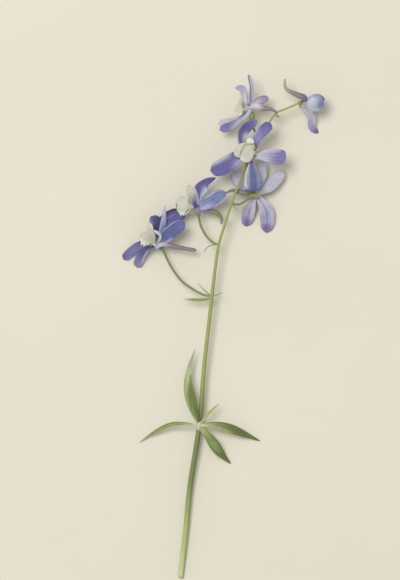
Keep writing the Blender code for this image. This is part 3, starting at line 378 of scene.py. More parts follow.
LOOKS = {
    "a": {
        "calyx": ("deep", "lilac", "pale"),
        "sepals": (
            Look(("deep", "deep", "violet", "deep"), ("violet", 0.2, 0.9, 0.5), ("indigo", 0, 0.5, 0.5)),
            Look(("indigo", "denim", "deep", "violet", "mauve"), ("pale", 0.3, 0.85, 0.55)),
            Look(("lilac", "denim", "denim", "denim", "deep"), ("sky", 0, 1, 0.22), ("lilac", 0, 0.45, 0.5),
                 line=0, veins=-0.08, ruffle=0.2, blots=(("deep", 0.95, 0, 0.2, 0.9),)),
            Look(("indigo", "indigo", "deep", "deep"), ("night", 0, 1, 0.5), line=0, veins=0.15, ragged=0.06,
                 blots=(("violet", 0.62, -0.2, 0.3, 0.16), ("blue", 0.5, 0.3, 0.2, 0.14))),
            Look(("blue", "blue", "lilac", "pale"), ("sky", 0, 1, 0.4), ("lilac", 0, 1, 0.35),
                 line=0.5, veins=0.2, ruffle=0),
            Look(("indigo", "night", "night", "deep"), ("violet", 0.75, 1, 0.8), ("night", 0, 0.8, 0.7),
                 line=0, veins=0.2),
        ),
        "spur": ("grey", "umber", "umber", "umber"),
        "petals": (
            Look(("stone", "stone", "stone", "cream"), ("snow", 0, 1, 0.62), ("white", 0.2, 1, 0.4),
                 line=0, veins=0.2, ruffle=0.12, ragged=0.03, teeth=0.42, rim=0.45),
            Look(("moss", "snow", "grey", "snow"), ("umber", 0, 1, 0.3),
                 line=0, veins=0.2, ruffle=0, rim=0.9),
            SLIM_PETAL,
        ),
    },
    "b": {
        "calyx": ("umber", "lilac", "violet", "deep"),
        "sepals": (
            Look(("lilac", "blue", "blue", "blue", "blue"), ("sky", 0.3, 1, 0.4), ("sky", 0.5, 1, 0.3),
                 line=0.1, veins=-0.3, ruffle=0.15, blots=(("lilac", 0.2, 0.5, 0.25, 0.5),)),
            Look(("violet", "deep", "deep", "deep", "indigo"), None, ("pale", 0.15, 0.6, 1.1)),
            Look(("grey", "lilac", "pale"), line=0.5, veins=0.2, ruffle=0),
            Look(("pale", "grey", "pale"), veins=0.4),
            Look(("indigo", "deep", "lilac"), line=0.3, veins=0.2),
        ),
        "spur": ("violet", "umber", "olive", "olive", "umber"),
        "petals": (
            Look(("cream",), ("snow", 0.5, 1, 0.4),
                 line=0, veins=0.2, ruffle=0.12, ragged=0.05, teeth=0.3, rim=0.6),
            Look(("moss", "moss", "cream", "cream"), veins=0.4, ragged=0.02, rim=0.9),
            SLIM_PETAL,
        ),
    },
    "c": {
        "calyx": ("moss", "lilac", "olive"),
        "sepals": (
            Look(("lilac", "pale", "lilac", "lilac", "mauve"), ("grey", 0, 0.75, 0.9), line=0.8, veins=0.4,
                 blots=(("plum", 0.86, 0, 0.16, 0.55),)),
            Look(("sky", "pale", "lilac", "lilac", "mauve"), ("pale", 0, 0.8, 0.9), ("pale", 0.1, 0.5, 0.4),
                 line=0.8, veins=0.4, blots=(("plum", 0.9, 0.15, 0.14, 0.6), ("umber", 1, 0, 0.06, 0.5))),
            Look(("moss", "haze", "haze", "haze"), ("lilac", 0, 0.5, 0.5), line=0.1, veins=0.3, ruffle=0.12),
            Look(("lilac", "haze", "haze"), line=0.1, veins=0.3),
            Look(("lilac", "haze", "haze"), ("lilac", 0.3, 1, 0.4), line=0.1, veins=0.3),
        ),
        "spur": ("shade", "olive", "umber", "umber", "umber"),
        "petals": (SLIM_PETAL, SLIM_PETAL, SLIM_PETAL),
    },
    "d": {
        "calyx": ("deep", "violet", "pale"),
        "sepals": (
            Look(("violet", "violet", "deep", "deep", "violet"), ("pale", 0.05, 0.5, 0.45),
                 ("grey", 0, 0.62, 1.2), line=0.3, veins=0.4),
            Look(("indigo", "deep", "violet", "deep", "deep"), ("lilac", 0.3, 0.7, 0.5), line=0, veins=-0.6),
            Look(("grey", "pale", "lilac", "violet", "violet"), ("grey", 0, 0.8, 0.5),
                 veins=0.7, ruffle=0.15),
            Look(("lilac", "violet", "deep", "deep", "deep"), None, ("haze", 0.35, 0.95, 0.6),
                 line=0, veins=0.3, ruffle=0.2,
                 blots=(("indigo", 0.25, 0.65, 0.14, 0.4), ("lilac", 0.3, -0.7, 0.16, 0.4))),
            Look(("deep", "blue", "blue", "deep"), ("sky", 0.1, 0.9, 0.4), ("grey", 0.1, 0.9, 0.8),
                 line=0.4, veins=0.9, ruffle=0.15),
        ),
        "spur": ("lilac", "umber", "umber"),
        "petals": (
            Look(("cream",), line=0, veins=0.2, ragged=0.03, teeth=0.1, rim=0.9),
            Look(("white", "cream", "cream", "white"), None, ("olive", 0.05, 0.9, 0.22),
                 line=0, veins=0.2, ragged=0.04, rim=0.7, blots=(("olive", 0.2, 0.9, 0.1, 0.3),)),
            Look(("olive", "cream", "white", "snow"), veins=0.2, ragged=0.02, rim=0.7),
        ),
    },
    "e": {
        "calyx": ("moss", "grey", "lilac"),
        "sepals": (
            Look(("lilac", "lilac", "pale", "lilac"), ("deep", 0, 1, 0.5), ("grey", 0, 0.9, 0.7),
                 line=0.1, veins=0.3, ruffle=0),
            Look(("indigo", "grey", "grey", "lilac", "lilac"), ("violet", 0, 1, 0.2), ("violet", 0, 0.6, 0.4),
                 veins=0.3),
            Look(("white", "grey", "lilac", "umber"), ("mauve", 0.1, 1, 0.5), ("umber", 0.2, 1, 0.4),
                 line=0, veins=0.3, ruffle=0),
            Look(("grey", "pale", "lilac", "violet", "violet"), ("pale", 0.1, 0.7, 0.9), ("deep", 0, 1, 0.4)),
            Look(("grey", "grey", "haze", "pale"), veins=0.4),
        ),
        "spur": ("pale", "grey", "umber", "umber", "umber"),
        "petals": (SLIM_PETAL, SLIM_PETAL),
    },
    "f": {
        "calyx": ("wan", "moss", "lilac"),
        "sepals": (
            Look(("pale", "lilac", "deep"), veins=0.3, ruffle=0.05),
            Look(("cream", "mist", "mist", "sky", "violet"), ("sky", 0, 0.7, 0.4), ("mist", 0, 0.9, 0.9),
                 line=0, veins=0.3, blots=(("violet", 0.82, 0.1, 0.16, 0.5), ("grey", 0.25, -0.3, 0.2, 0.4))),
            Look(("stone", "mist", "sky", "violet"), line=0.1, veins=0.3),
            Look(("moss", "grey", "pale", "lilac", "violet"), ("grey", 0.2, 0.8, 0.6),
                 ("lilac", 0.2, 0.7, 0.2), veins=0.3, blots=(("deep", 0.97, 0, 0.12, 0.9),)),
            Look(("moss", "grey", "pale"), veins=0.4, ruffle=0),
        ),
        "spur": ("deep", "umber", "umber", "moss", "moss"),
        "petals": (SLIM_PETAL, SLIM_PETAL),
    },
}

# How the edges of a blade run. Pairs are places along it between which a feature sets in. The waves of the
# fringe are (waves, phase, strength).
ROW_CROWDING = 1.15
ROUND_END_START = 0.93
ROUND_END_LENGTH = 0.0705
ROUND_END_LEAST = 0.12
RUFFLE_WAVES = 13
RUFFLE_SLANT = 2.2
RUFFLE_ONSET = (0.2, 0.6)
FRINGE_WAVES = ((14, 1, 0.6), (25, 2, 0.4))
FRINGE_ONSET = (0.86, 1.0)
FRAY_WAVES = 60
FRAY_SHARE = 0.5
FRAY_ONSET = (0.5, 0.8)
TOOTH_COUNT = 4.5
TOOTH_LEVEL = 0.6
TOOTH_ONSET = (0.15, 0.3)
EDGE_THINNESS = 0.22

# How a blade is painted. Pairs are places between which a feature sets in or fades, and for an edge they
# count from its start and its end. A shade is the share of the colour that is left in it.
EDGE_FADE_IN = (-0.12, 0.05)
EDGE_FADE_OUT = (-0.1, 0.1)
EDGE_SOFTNESS = 1.25
RIB_WIDTH = 0.09
RIB_END = (0.45, 0.85)
RIB_SHADE = 0.35
RIM_ACROSS = (0.88, 1.0)
RIM_ALONG = (0.95, 1.0)
RIM_SHADE = 0.62
BACK_BASE_INK = 0.25
BACK_SHADE = 0.92
VEIN_START = (0.02, 0.2)
VEIN_END = (0.75, 1.0)
WASH_OFFSET = 17

# How tubes and knobs are shaped and painted. A tube loses a share of its colour on its shaded side, towards
# the right and the top of the view. Angles are in degrees, and lump heights are shares of the radius.
TIP_ANGLES = (35, 65, 85)
TIP_LENGTH = 0.8
STEM_RIDGES = 5
STEM_RIDGE_HEIGHT = 0.02
STEM_DARKENING = 0.3
TUBE_DARKENING = 0.25
SHADED_SIDE = (0.8, 0.6, 0)
SHADED_ONSET = (0.1, 0.95)
KNOB_REACH = 0.985
KNOB_LUMPS = 3
RECEPTACLE_LUMP_HEIGHT = 0.06
COLLAR_LUMP_HEIGHT = 0.08
CALYX_LUMP_HEIGHT = 0.05
ANTHER_LUMP_HEIGHT = 0.15

# Plant surfaces: their noise as (scale, detail), and how veins and relief follow it
WASH_NOISE = (420, 3)
GRAIN_NOISE = (2600, 2)
BRUSH_NOISE = (1.6, 3)
BRUSH_ALONG = 0.16
BRUSH_ACROSS = 2.6
VEIN_WAVER = 2.4
VEIN_SHARPNESS = 4
VEIN_LEAST = 0.001
VEIN_BREAKS = 3
VEIN_LEVEL = 0.8
PALE_VEIN_STRENGTH = 0.7
ROUGHNESS_SPREAD = 0.2
GRAIN_RELIEF = 0.5
RELIEF_DEPTH = 0.0002
SPECULAR = 0.3
SOFT_RADIUS = (0.001, 0.0008, 0.0008)
SOFT_SCALE = 0.6

# The floor, the view and its light, in metres and watts. The view's centre and height are in millimetres.
FLOOR_REACH = 3.0
FLOOR_NOISE = (14, 4)
FLOOR_ROUGHNESS = 0.9
FLOOR_SPECULAR = 0.1
FLOOR_COLOURS = ((0.745, 0.712, 0.59), (0.765, 0.73, 0.61))
FLOOR_STOPS = (0.35, 0.65)
VIEW_CENTRE = (-10.6, 16.1, 0)
VIEW_HEIGHT = 261
VIEW_DISTANCE = 2.4
VIEW_END = 50
KEY_PLACE = (-0.55, 0.55, 2.1)
KEY_SIZE = 1.0
KEY_POWER = 29.5
KEY_COLOUR = (1.0, 0.99, 0.97)
SKY_STRENGTH = 0.515


def colour(name):
    """Linear colour of a named ink."""
    text = INK[name]
    parts = np.array([int(text[i:i + 2], 16) for i in (1, 3, 5)]) / 255
    return np.where(parts <= 0.04045, parts / 12.92, ((parts + 0.055) / 1.055) ** 2.4)


def ramp(names, share):
    """Colours along evenly spaced named inks, at these shares."""
    inks = np.array([colour(name) for name in names])
    places = np.linspace(0, 1, len(names))
    return np.stack([np.interp(share, places, inks[:, k]) for k in range(3)], axis=-1)


def mixed(first, second, share):
    """The first colours, with this share of the second ones."""
    share = np.clip(np.asarray(share), 0, 1)[..., None]
    return first * (1 - share) + second * share


def step(low, high, value):
    """A smooth rise from 0 at low to 1 at high."""
    t = np.clip((value - low) / (high - low), 0, 1)
    return t * t * (3 - 2 * t)


def smooth_run(points, shares):
    """Places on a smooth curve through the points, at these shares of its length."""
    p = np.array(points, float)
    p = np.vstack([2 * p[0] - p[1], p, 2 * p[-1] - p[-2]])
    fine = []
    for i in range(1, len(p) - 2):
        for t in np.arange(CURVE_STEPS) / CURVE_STEPS:
            fine.append(
                0.5 * (2 * p[i] + (p[i + 1] - p[i - 1]) * t
                       + (2 * p[i - 1] - 5 * p[i] + 4 * p[i + 1] - p[i + 2]) * t ** 2
                       + (3 * p[i] - p[i - 1] - 3 * p[i + 1] + p[i + 2]) * t ** 3)
            )
    fine.append(p[-2])
    fine = np.array(fine)
    along = np.concatenate([[0.0], np.cumsum(np.linalg.norm(np.diff(fine[:, :3], axis=0), axis=1))])
    wanted = np.asarray(shares) * along[-1]
    return np.stack([np.interp(wanted, along, fine[:, k]) for k in range(p.shape[1])], axis=1)


def eased(stops, t):
    """A value read from (place, value) stops, along a curve with no corners."""
    places, values = zip(*stops)
    i = int(np.clip(np.searchsorted(places, t, side="right") - 1, 0, len(places) - 2))
    width = places[i + 1] - places[i]
    s = (t - places[i]) / width
    slopes = np.gradient(values, places)
    return ((2 * s ** 3 - 3 * s ** 2 + 1) * values[i] + (s ** 3 - 2 * s ** 2 + s) * width * slopes[i]
            + (3 * s ** 2 - 2 * s ** 3) * values[i + 1] + (s ** 3 - s ** 2) * width * slopes[i + 1])


def placed(name, data):
    """A new object in the scene."""
    made = bpy.data.objects.new(name, data)
    bpy.context.scene.collection.objects.link(made)
    return made


def new_material(name):
    """A new material with its nodes, its links and its shader."""
    made = bpy.data.materials.new(name)
    made.use_nodes = True
    nodes = made.node_tree.nodes
    return made, nodes, made.node_tree.links, nodes["Principled BSDF"]


def fill(node, values):
    """Sets the sockets of a node by name."""
    for name, value in values.items():
        node.inputs[name].default_value = value


def length_of(places):
    """Length of the straight lines that join the places in turn."""
    return np.linalg.norm(np.diff(places, axis=0), axis=1).sum()


def directions(run):
    """Unit vectors along a run of places: ahead, up at right angles to that, and level across both."""
    ahead = np.gradient(run, axis=0)
    ahead /= np.linalg.norm(ahead, axis=1)[:, None]
    up = np.array([0, 0, 1.0]) - ahead * ahead[:, 2:3]
    up /= np.linalg.norm(up, axis=1)[:, None]
    return ahead, up, np.cross(ahead, up)


def rooted(middle, radius, spine):
    """The spine with a root inside the body that it grows from."""
    reach = Vector(spine[0]) - Vector(middle)
    root = Vector(middle) + reach.normalized() * radius * ROOT_SHARE
    return ((*root,), *spine)


class Clay:
    """The points, faces and colours of one piece."""

    def __init__(self):
        self.points = []
        self.faces = []
        self.tones = []
        self.marks = []
        self.count = 0

    def sheet(self, points, tones, marks):
        """Adds a closed skin from rings of points, with its first and last ring filled."""
        rings, sides = points.shape[:2]
        first = self.count
        last = first + (rings - 1) * sides
        self.points.append(points.reshape(-1, 3))
        self.tones.append(tones.reshape(-1, 3))
        self.marks.append(marks.reshape(-1, 3))
        self.count += rings * sides
        for r in range(rings - 1):
            for s in range(sides):
                a = first + r * sides + s
                b = first + r * sides + (s + 1) % sides
                self.faces.append((a, b, b + sides, a + sides))
        self.faces.append(tuple(first + s for s in reversed(range(sides))))
        self.faces.append(tuple(last + s for s in range(sides)))

    def piece(self, name, node, finish):
        """Makes the piece as an object that stands for its node."""
        mesh = bpy.data.meshes.new(name)
        mesh.from_pydata(np.concatenate(self.points) * MM, [], self.faces)
        tone = mesh.attributes.new("tone", "FLOAT_COLOR", "POINT")
        tones = np.concatenate(self.tones)
        tone.data.foreach_set("color", np.column_stack([tones, np.ones(len(tones))]).ravel())
        mark = mesh.attributes.new("mark", "FLOAT_VECTOR", "POINT")
        mark.data.foreach_set("vector", np.concatenate(self.marks).ravel())
        mesh.shade_smooth()
        mesh.update()
        mesh.materials.append(finish)
        made = placed(name, mesh)
        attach(made, "root")
        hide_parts(node)


def round_tip(run):
    """Rings that close the end of a tube in a dome, as rows of place and radius."""
    ahead = (run[-1, :3] - run[-2, :3]) / np.linalg.norm(run[-1, :3] - run[-2, :3])
    rings = []
    for angle in np.radians(TIP_ANGLES):
        ring = run[-1].copy()
        ring[:3] += ahead * run[-1, 3] * np.sin(angle) * TIP_LENGTH
        ring[3] *= np.cos(angle)
        rings.append(ring)
    return rings


def add_tube(clay, line, inks, mesh, darkening=TUBE_DARKENING, domed=True, ridge=0.0):
    """A round tapering tube along a line of (place, radius), darker on its shaded side. The mesh is
    (sides, distance between rings)."""
    sides, spacing = mesh
    rows = np.array([(*place, radius) for place, radius in line])
    length = length_of(rows[:, :3])
    shares = np.linspace(0, 1, max(LEAST_RINGS, round(length / spacing)) + 1)
    run = smooth_run(rows, shares)
    if domed:
        run = np.vstack([run, round_tip(run)])
        shares = np.append(shares, np.ones(len(TIP_ANGLES)))
    up, side = directions(run[:, :3])[1:]
    turn = np.linspace(0, math.tau, sides, endpoint=False)
    radius = run[:, 3][:, None, None] * (1 + ridge * np.cos(STEM_RIDGES * turn))[None, :, None]
    ring = side[:, None] * np.cos(turn)[None, :, None] + up[:, None] * np.sin(turn)[None, :, None]
    points = run[:, None, :3] + ring * radius
    tones = np.repeat(ramp(inks, shares)[:, None], sides, axis=1)
    shaded = step(*SHADED_ONSET, ring @ np.array(SHADED_SIDE))
    tones = tones * (1 - darkening * shaded)[..., None]
    marks = np.zeros_like(points)
    marks[..., 0] = shares[:, None] * length
    marks[..., 1] = np.cos(turn)[None]
    clay.sheet(points, tones, marks)


def add_knob(clay, centre, axis, radius, half_height, inks, lumps=0.0, mesh=KNOB_MESH):
    """A rounded knob with its half-height along the axis. The mesh is (segments, rings)."""
    segments, rings = mesh
    turn = np.array(Vector((0, 0, 1)).rotation_difference(Vector(axis)).to_matrix())
    rise = np.linspace(-0.5, 0.5, rings + 1) * math.pi * KNOB_REACH
    around = np.linspace(0, math.tau, segments, endpoint=False)
    ball = np.stack([
        np.cos(rise)[:, None] * np.cos(around)[None],
        np.cos(rise)[:, None] * np.sin(around)[None],
        np.sin(rise)[:, None] * np.ones(segments)[None],
    ], axis=-1)
    bumps = 1 + lumps * np.sin(KNOB_LUMPS * around + 1)[None, :, None] * np.cos(rise)[:, None, None]
    points = (ball * bumps * np.array([radius, radius, half_height])) @ turn.T + np.array(centre)
    share = (np.sin(rise) + 1) / 2
    tones = np.repeat(ramp(inks, share)[:, None], segments, axis=1)
    marks = np.zeros_like(points)
    marks[..., 0] = share[:, None] * half_height * 2
    marks[..., 1] = np.cos(around)[None]
    clay.sheet(points, tones, marks)


def edge_lines(width, ruffle, ragged, teeth, shares, across):
    """How the edges of a blade depart from its outline: the spread to its sides, the lift off its face and
    the jut past its end, for each share of its length and each place across."""
    beside = np.abs(across)[None]
    fray = np.sin(shares * FRAY_WAVES) * step(*FRAY_ONSET, shares) * ragged * FRAY_SHARE
    saw = np.abs((shares * TOOTH_COUNT) % 1 - 0.5) * 2 - TOOTH_LEVEL
    notch = teeth * saw * step(*TOOTH_ONSET, shares)
    spread = 1 + fray[:, None] * beside - notch[:, None] * np.clip(-across, 0, 1)[None] ** 3
    wave = np.sin(shares[:, None] * RUFFLE_WAVES + across[None] * RUFFLE_SLANT + width)
    lift = ruffle * wave * step(*RUFFLE_ONSET, shares)[:, None] * beside ** 2
    fringe = sum(np.sin(across * count + phase) * height for count, phase, height in FRINGE_WAVES)
    jut = ragged * width * fringe[None] * step(*FRINGE_ONSET, shares)[:, None]
    return spread, lift, jut


def blade_faces(spine, width, outline, roll, tip_roll, cup, thickness, look, shares, across):
    """Points of the upper and the under face of a blade, and the length of its spine."""
    run = smooth_run(spine, shares)
    ahead, up, level = directions(run)
    angle = np.radians(roll + (tip_roll - roll) * shares)[:, None]
    face = (up * np.cos(angle) + level * np.sin(angle))[:, None]
    side = (level * np.cos(angle) - up * np.sin(angle))[:, None]
    fullness = np.array([eased(outline, share) for share in shares])
    round_end = np.sqrt(1 - np.clip((shares - ROUND_END_START) / ROUND_END_LENGTH, 0, 1) ** 2)
    half = width / 2 * fullness * np.maximum(round_end, ROUND_END_LEAST)
    spread, lift, jut = edge_lines(width, look.ruffle, look.ragged, look.teeth, shares, across)
    rise = cup * (fullness * half)[:, None] * across[None] ** 2 + lift
    middle = run[:, None] + side * (half[:, None] * spread * across[None])[..., None]
    middle = middle + face * rise[..., None] + ahead[:, None] * jut[..., None]
    bevel = EDGE_THINNESS + (1 - EDGE_THINNESS) * np.sqrt(1 - across ** 2)
    thin = face * (thickness / 2 * bevel)[None, :, None]
    return middle + thin, middle - thin, length_of(run)


def edged(tone, edge, outward, shares):
    """The tone with one side edge in its own ink, given as (ink, start, end, reach)."""
    if not edge:
        return tone
    ink, start, end, reach = edge
    opened = step(start + EDGE_FADE_IN[0], start + EDGE_FADE_IN[1], shares)
    closed = step(end + EDGE_FADE_OUT[0], end + EDGE_FADE_OUT[1], shares)
    inward = step(1 - EDGE_SOFTNESS * reach, 1, outward)
    return mixed(tone, colour(ink), (opened * (1 - closed))[:, None] * inward[None])


def blade_tones(look, shares, across):
    """Colours of the upper and the under face of a blade."""
    tone = np.repeat(ramp(look.inks, shares)[:, None], len(across), axis=1)
    tone = edged(tone, look.left, -across, shares)
    tone = edged(tone, look.right, across, shares)
    for ink, along, over, long, wide in look.blots:
        spot = np.exp(-((shares[:, None] - along) / long) ** 2 - ((across[None] - over) / wide) ** 2)
        tone = mixed(tone, colour(ink), spot)
    rib = np.exp(-(across / RIB_WIDTH) ** 2)[None] * (1 - step(*RIB_END, shares))[:, None]
    tone = mixed(tone, tone * RIB_SHADE, rib * look.line)
    pool = np.maximum(step(*RIM_ACROSS, np.abs(across))[None], step(*RIM_ALONG, shares)[:, None])
    tone = mixed(tone, tone * RIM_SHADE, pool * look.rim)
    back = mixed(tone, colour(look.inks[0]), np.full(tone.shape[:2], BACK_BASE_INK)) * BACK_SHADE
    return tone, back


def add_blade(clay, spine, width, outline, roll, tip_roll, cup, thickness, look, mesh=BLADE_MESH):
    """A thin cupped blade along a spine, its upper face turned up and then rolled about the spine. The mesh
    is (rows, columns), with the rows closer together towards the tip."""
    rows, columns = mesh
    shares = 1 - (1 - np.linspace(0, 1, rows + 1)) ** ROW_CROWDING
    across = np.sin(np.linspace(-0.5, 0.5, columns + 1) * math.pi)
    top, under, length = blade_faces(spine, width, outline, roll, tip_roll, cup, thickness, look, shares,
                                     across)
    tone, back = blade_tones(look, shares, across)
    marks = np.zeros_like(top)
    marks[..., 0] = shares[:, None] * length + width * WASH_OFFSET
    marks[..., 1] = across[None]
    marks[..., 2] = (look.veins * step(*VEIN_START, shares) * (1 - step(*VEIN_END, shares)))[:, None]
    clay.sheet(*(np.concatenate([over, below[:, ::-1]], axis=1)
                 for over, below in ((top, under), (tone, back), (marks, marks))))


def plant_material(name, roughness, vein_count, vein_dark, mottle, streak, bump, soft):
    """A plant surface: its colours vary in soft washes and lengthwise streaks, with veins and a fine grain.
    The mark of a point is its place along the piece, its place across and the strength of its veins."""
    made, nodes, links, shader = new_material(name)

    def node(kind, **settings):
        new = nodes.new(kind)
        for key, value in settings.items():
            setattr(new, key, value)
        return new

    def maths(operation, first, second=None):
        new = node("ShaderNodeMath", operation=operation)
        for socket, value in zip(new.inputs, (first, second)):
            if isinstance(value, (int, float)):
                socket.default_value = value
            elif value is not None:
                links.new(value, socket)
        return new.outputs[0]

    def noise(scale, detail, vector):
        """Noise round 0."""
        new = node("ShaderNodeTexNoise")
        fill(new, {"Scale": scale, "Detail": detail})
        links.new(vector, new.inputs["Vector"])
        return maths("SUBTRACT", new.outputs["Fac"], 0.5)

    tone = node("ShaderNodeAttribute", attribute_name="tone")
    mark = node("ShaderNodeAttribute", attribute_name="mark")
    parts = node("ShaderNodeSeparateXYZ")
    links.new(mark.outputs["Vector"], parts.inputs[0])
    lengthwise = node("ShaderNodeCombineXYZ")
    links.new(maths("MULTIPLY", parts.outputs["X"], BRUSH_ALONG), lengthwise.inputs["X"])
    links.new(maths("MULTIPLY", parts.outputs["Y"], BRUSH_ACROSS), lengthwise.inputs["Y"])
    place = node("ShaderNodeTexCoord").outputs["Object"]
    wash = noise(*WASH_NOISE, place)
    grain = noise(*GRAIN_NOISE, place)
    stroke = noise(*BRUSH_NOISE, lengthwise.outputs[0])

    turns = maths("MULTIPLY", parts.outputs["Y"], vein_count * math.pi)
    lines = maths("SINE", maths("ADD", turns, maths("MULTIPLY", wash, VEIN_WAVER)))
    ridge = maths("MAXIMUM", maths("MULTIPLY", maths("ADD", lines, 1), 0.5), VEIN_LEAST)
    breaks = maths("MAXIMUM", maths("ADD", maths("MULTIPLY", stroke, VEIN_BREAKS), VEIN_LEVEL), 0)
    broken = maths("MULTIPLY", maths("POWER", ridge, VEIN_SHARPNESS), breaks)
    vein = maths("MULTIPLY", broken, maths("MAXIMUM", parts.outputs["Z"], 0))
    below_zero = maths("MINIMUM", parts.outputs["Z"], 0)
    pale_vein = maths("MULTIPLY", broken, maths("MULTIPLY", below_zero, -PALE_VEIN_STRENGTH))

    factor = maths("SUBTRACT", 1, maths("MULTIPLY", vein, vein_dark))
    for pattern, strength in ((wash, mottle * 2), (stroke, streak * 2), (grain, mottle)):
        factor = maths("MULTIPLY", factor, maths("ADD", 1, maths("MULTIPLY", pattern, strength)))
    scaled = node("ShaderNodeVectorMath", operation="SCALE")
    links.new(tone.outputs["Color"], scaled.inputs[0])
    links.new(factor, scaled.inputs["Scale"])
    veined = node("ShaderNodeMix", data_type="RGBA")
    links.new(pale_vein, veined.inputs["Factor"])
    links.new(scaled.outputs[0], veined.inputs["A"])
    fill(veined, {"B": (*colour("pale"), 1)})
    links.new(veined.outputs["Result"], shader.inputs["Base Color"])

    gloss = maths("ADD", roughness, maths("MULTIPLY", grain, ROUGHNESS_SPREAD))
    links.new(gloss, shader.inputs["Roughness"])
    relief = node("ShaderNodeBump")
    fill(relief, {"Strength": bump, "Distance": RELIEF_DEPTH})
    height = maths("SUBTRACT", maths("MULTIPLY", grain, GRAIN_RELIEF), vein)
    links.new(height, relief.inputs["Height"])
    links.new(relief.outputs["Normal"], shader.inputs["Normal"])
    fill(shader, {"Subsurface Weight": soft, "Subsurface Radius": SOFT_RADIUS,
                  "Subsurface Scale": SOFT_SCALE, "Specular IOR Level": SPECULAR})
    return made


def make_stem(finish):
    """The stem with its flower stalks, receptacles, bracts and threads."""
    clay = Clay()
    add_tube(clay, STEM_LINE, STEM_INKS, STEM_MESH, STEM_DARKENING, domed=False, ridge=STEM_RIDGE_HEIGHT)
    for letter, line in PEDICELS.items():
        add_tube(clay, [(p, PEDICEL_RADIUS) for p in line], PEDICEL_INKS[letter], PEDICEL_MESH)
    for letter, bloom in BLOOMS.items():
        add_knob(clay, *bloom["receptacle"], RECEPTACLE_INKS[letter], RECEPTACLE_LUMP_HEIGHT)
    for spine, width in BRACTS:
        add_blade(clay, spine, width, POINTED_OUTLINE, 0, 0, BRACT_CUP, BRACT_THICKNESS, BRACT_LOOK,
                  BRACT_MESH)
    for line in THREADS:
        add_tube(clay, [(p, THREAD_RADIUS) for p in line], THREAD_INKS, THREAD_MESH)
    clay.piece("stem_skin", "flower_stem", finish)


def make_leaf(finish):
    """The stem leaf: its lobes spread from a collar that clasps the stem."""
    below = Vector(STEM_LINE[2][0])
    above = Vector(STEM_LINE[4][0])
    clay = Clay()
    add_knob(clay, LEAF_NODE, above - below, LEAF_COLLAR_RADIUS, LEAF_COLLAR_HALF_LENGTH, COLLAR_INKS,
             COLLAR_LUMP_HEIGHT)
    for (spine, width, roll, tip_roll), look in zip(LEAF_LOBES, LOBE_LOOKS):
        add_blade(clay, spine, width, LOBE_OUTLINE, roll, tip_roll, LOBE_CUP, LOBE_THICKNESS, look, LOBE_MESH)
    clay.piece("leaf_skin", "stem_leaf", finish)


def make_calyx(letter, bloom, looks, finish):
    """The sepals and the spur of one bloom, on their common base."""
    middle, axis, radius, half_height = bloom["calyx"]
    spur = bloom["spur"]
    clay = Clay()
    add_knob(clay, middle, axis, radius, half_height, looks["calyx"], CALYX_LUMP_HEIGHT)
    for (spine, *form), look in zip(bloom["sepals"], looks["sepals"]):
        add_blade(clay, rooted(middle, radius, spine), *form, SEPAL_THICKNESS, look)
    root = rooted(middle, radius, [spur[0][0]])[0]
    add_tube(clay, ((root, spur[0][1]), *spur), looks["spur"], SPUR_MESH)
    clay.piece(f"bloom_{letter}_calyx", f"bloom_{letter}_sepals", finish)


def make_corolla(letter, bloom, looks, finish):
    """The petals of one bloom, on their hub."""
    hub, radius, half_height = bloom["petal_hub"]
    clay = Clay()
    add_knob(clay, hub, (0, 0, 1), radius * PETAL_HUB_SHARE, half_height * PETAL_HUB_SHARE, PETAL_HUB_INKS)
    for (spine, *form), look in zip(bloom["petals"], looks["petals"]):
        add_blade(clay, rooted(hub, half_height, spine), *form, PETAL_THICKNESS, look)
    clay.piece(f"bloom_{letter}_corolla", f"bloom_{letter}_petals", finish)


def make_stamens(letter, bloom, finish):
    """The stamens of one bloom: they stand in a ring and spread from their hub."""
    root, end = (Vector(p) for p in bloom["stamens"])
    forward = (end - root).normalized()
    clay = Clay()
    add_knob(clay, root, forward, STAMEN_HUB_RADIUS, STAMEN_HUB_RADIUS, STAMEN_HUB_INKS)
    for i in range(STAMEN_COUNT):
        lean = forward.orthogonal().normalized()
        lean.rotate(Matrix.Rotation(math.tau * i / STAMEN_COUNT, 3, forward))
        tip = end + lean * STAMEN_SPREAD / 2
        line = (
            (root + lean * STAMEN_ROOT_SPREAD / 2, FILAMENT_ROOT_RADIUS),
            (root.lerp(end, 0.5) + lean * (STAMEN_ROOT_SPREAD + STAMEN_SPREAD) / 4, FILAMENT_RADIUS),
            (tip, FILAMENT_RADIUS),
        )
        add_tube(clay, line, FILAMENT_INKS, FILAMENT_MESH)
        add_knob(clay, tip, forward, ANTHER_RADIUS, ANTHER_HALF_LENGTH, ANTHER_INKS, ANTHER_LUMP_HEIGHT,
                 ANTHER_MESH)
    clay.piece(f"bloom_{letter}_anthers", f"bloom_{letter}_stamens", finish)


def make_floor():
    """A plain pale floor."""
    mesh = bpy.data.meshes.new("floor")
    corners = [(x * FLOOR_REACH, y * FLOOR_REACH, 0) for x, y in ((-1, -1), (1, -1), (1, 1), (-1, 1))]
    mesh.from_pydata(corners, [], [(0, 1, 2, 3)])
    made, nodes, links, shader = new_material("floor")
    fill(shader, {"Roughness": FLOOR_ROUGHNESS, "Specular IOR Level": FLOOR_SPECULAR})
    place = nodes.new("ShaderNodeTexCoord")
    cloud = nodes.new("ShaderNodeTexNoise")
    fill(cloud, {"Scale": FLOOR_NOISE[0], "Detail": FLOOR_NOISE[1]})
    tint = nodes.new("ShaderNodeValToRGB")
    for element, stop, tone in zip(tint.color_ramp.elements, FLOOR_STOPS, FLOOR_COLOURS):
        element.position = stop
        element.color = (*tone, 1)
    links.new(place.outputs["Object"], cloud.inputs["Vector"])
    links.new(cloud.outputs["Fac"], tint.inputs["Fac"])
    links.new(tint.outputs["Color"], shader.inputs["Base Color"])
    mesh.materials.append(made)
    floor = placed("floor", mesh)


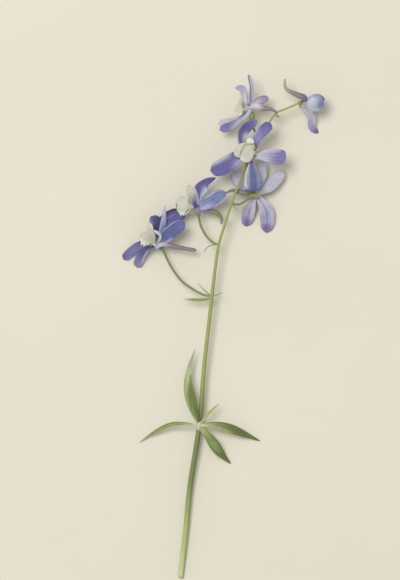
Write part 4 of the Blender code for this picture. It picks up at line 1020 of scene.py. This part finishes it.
def make_camera():
    """The camera looks straight down on the spike."""
    camera = placed("camera", bpy.data.cameras.new("camera"))
    camera.location = Vector(VIEW_CENTRE) * MM + Vector((0, 0, VIEW_DISTANCE))
    camera.data.sensor_fit = "VERTICAL"
    camera.data.angle = 2 * math.atan(VIEW_HEIGHT * MM / 2 / VIEW_DISTANCE)
    camera.data.clip_end = VIEW_END
    bpy.context.scene.camera = camera


def make_light():
    """A broad soft light from the upper left and an even pale surround."""
    lamp = bpy.data.lights.new("key", "AREA")
    lamp.shape = "DISK"
    lamp.size = KEY_SIZE
    lamp.energy = KEY_POWER
    lamp.color = KEY_COLOUR
    key = placed("key", lamp)
    key.location = KEY_PLACE
    key.rotation_euler = (-Vector(KEY_PLACE)).to_track_quat("-Z", "Y").to_euler()
    world = bpy.data.worlds.new("surround")
    bpy.context.scene.world = world
    world.use_nodes = True
    fill(world.node_tree.nodes["Background"], {"Color": (1, 1, 1, 1), "Strength": SKY_STRENGTH})


bpy.context.scene.view_settings.view_transform = "Standard"
make_camera()
make_light()
make_floor()
green = plant_material("stem surface", roughness=0.5, vein_count=10, vein_dark=0.3, mottle=0.16, streak=0.2,
                       bump=0.25, soft=0.05)
leafy = plant_material("leaf surface", roughness=0.5, vein_count=6, vein_dark=0.35, mottle=0.2, streak=0.3,
                       bump=0.5, soft=0.08)
violet = plant_material("sepal surface", roughness=0.55, vein_count=4.5, vein_dark=0.4, mottle=0.16,
                        streak=0.35, bump=0.4, soft=0.15)
white = plant_material("petal surface", roughness=0.55, vein_count=5, vein_dark=0.2, mottle=0.08,
                       streak=0.12, bump=0.35, soft=0.25)
olive = plant_material("anther surface", roughness=0.7, vein_count=6, vein_dark=0.2, mottle=0.3, streak=0.1,
                       bump=0.8, soft=0.05)
make_stem(green)
make_leaf(leafy)
for letter, bloom in BLOOMS.items():
    make_calyx(letter, bloom, LOOKS[letter], violet)
    make_corolla(letter, bloom, LOOKS[letter], white)
    if bloom["stamens"]:
        make_stamens(letter, bloom, olive)
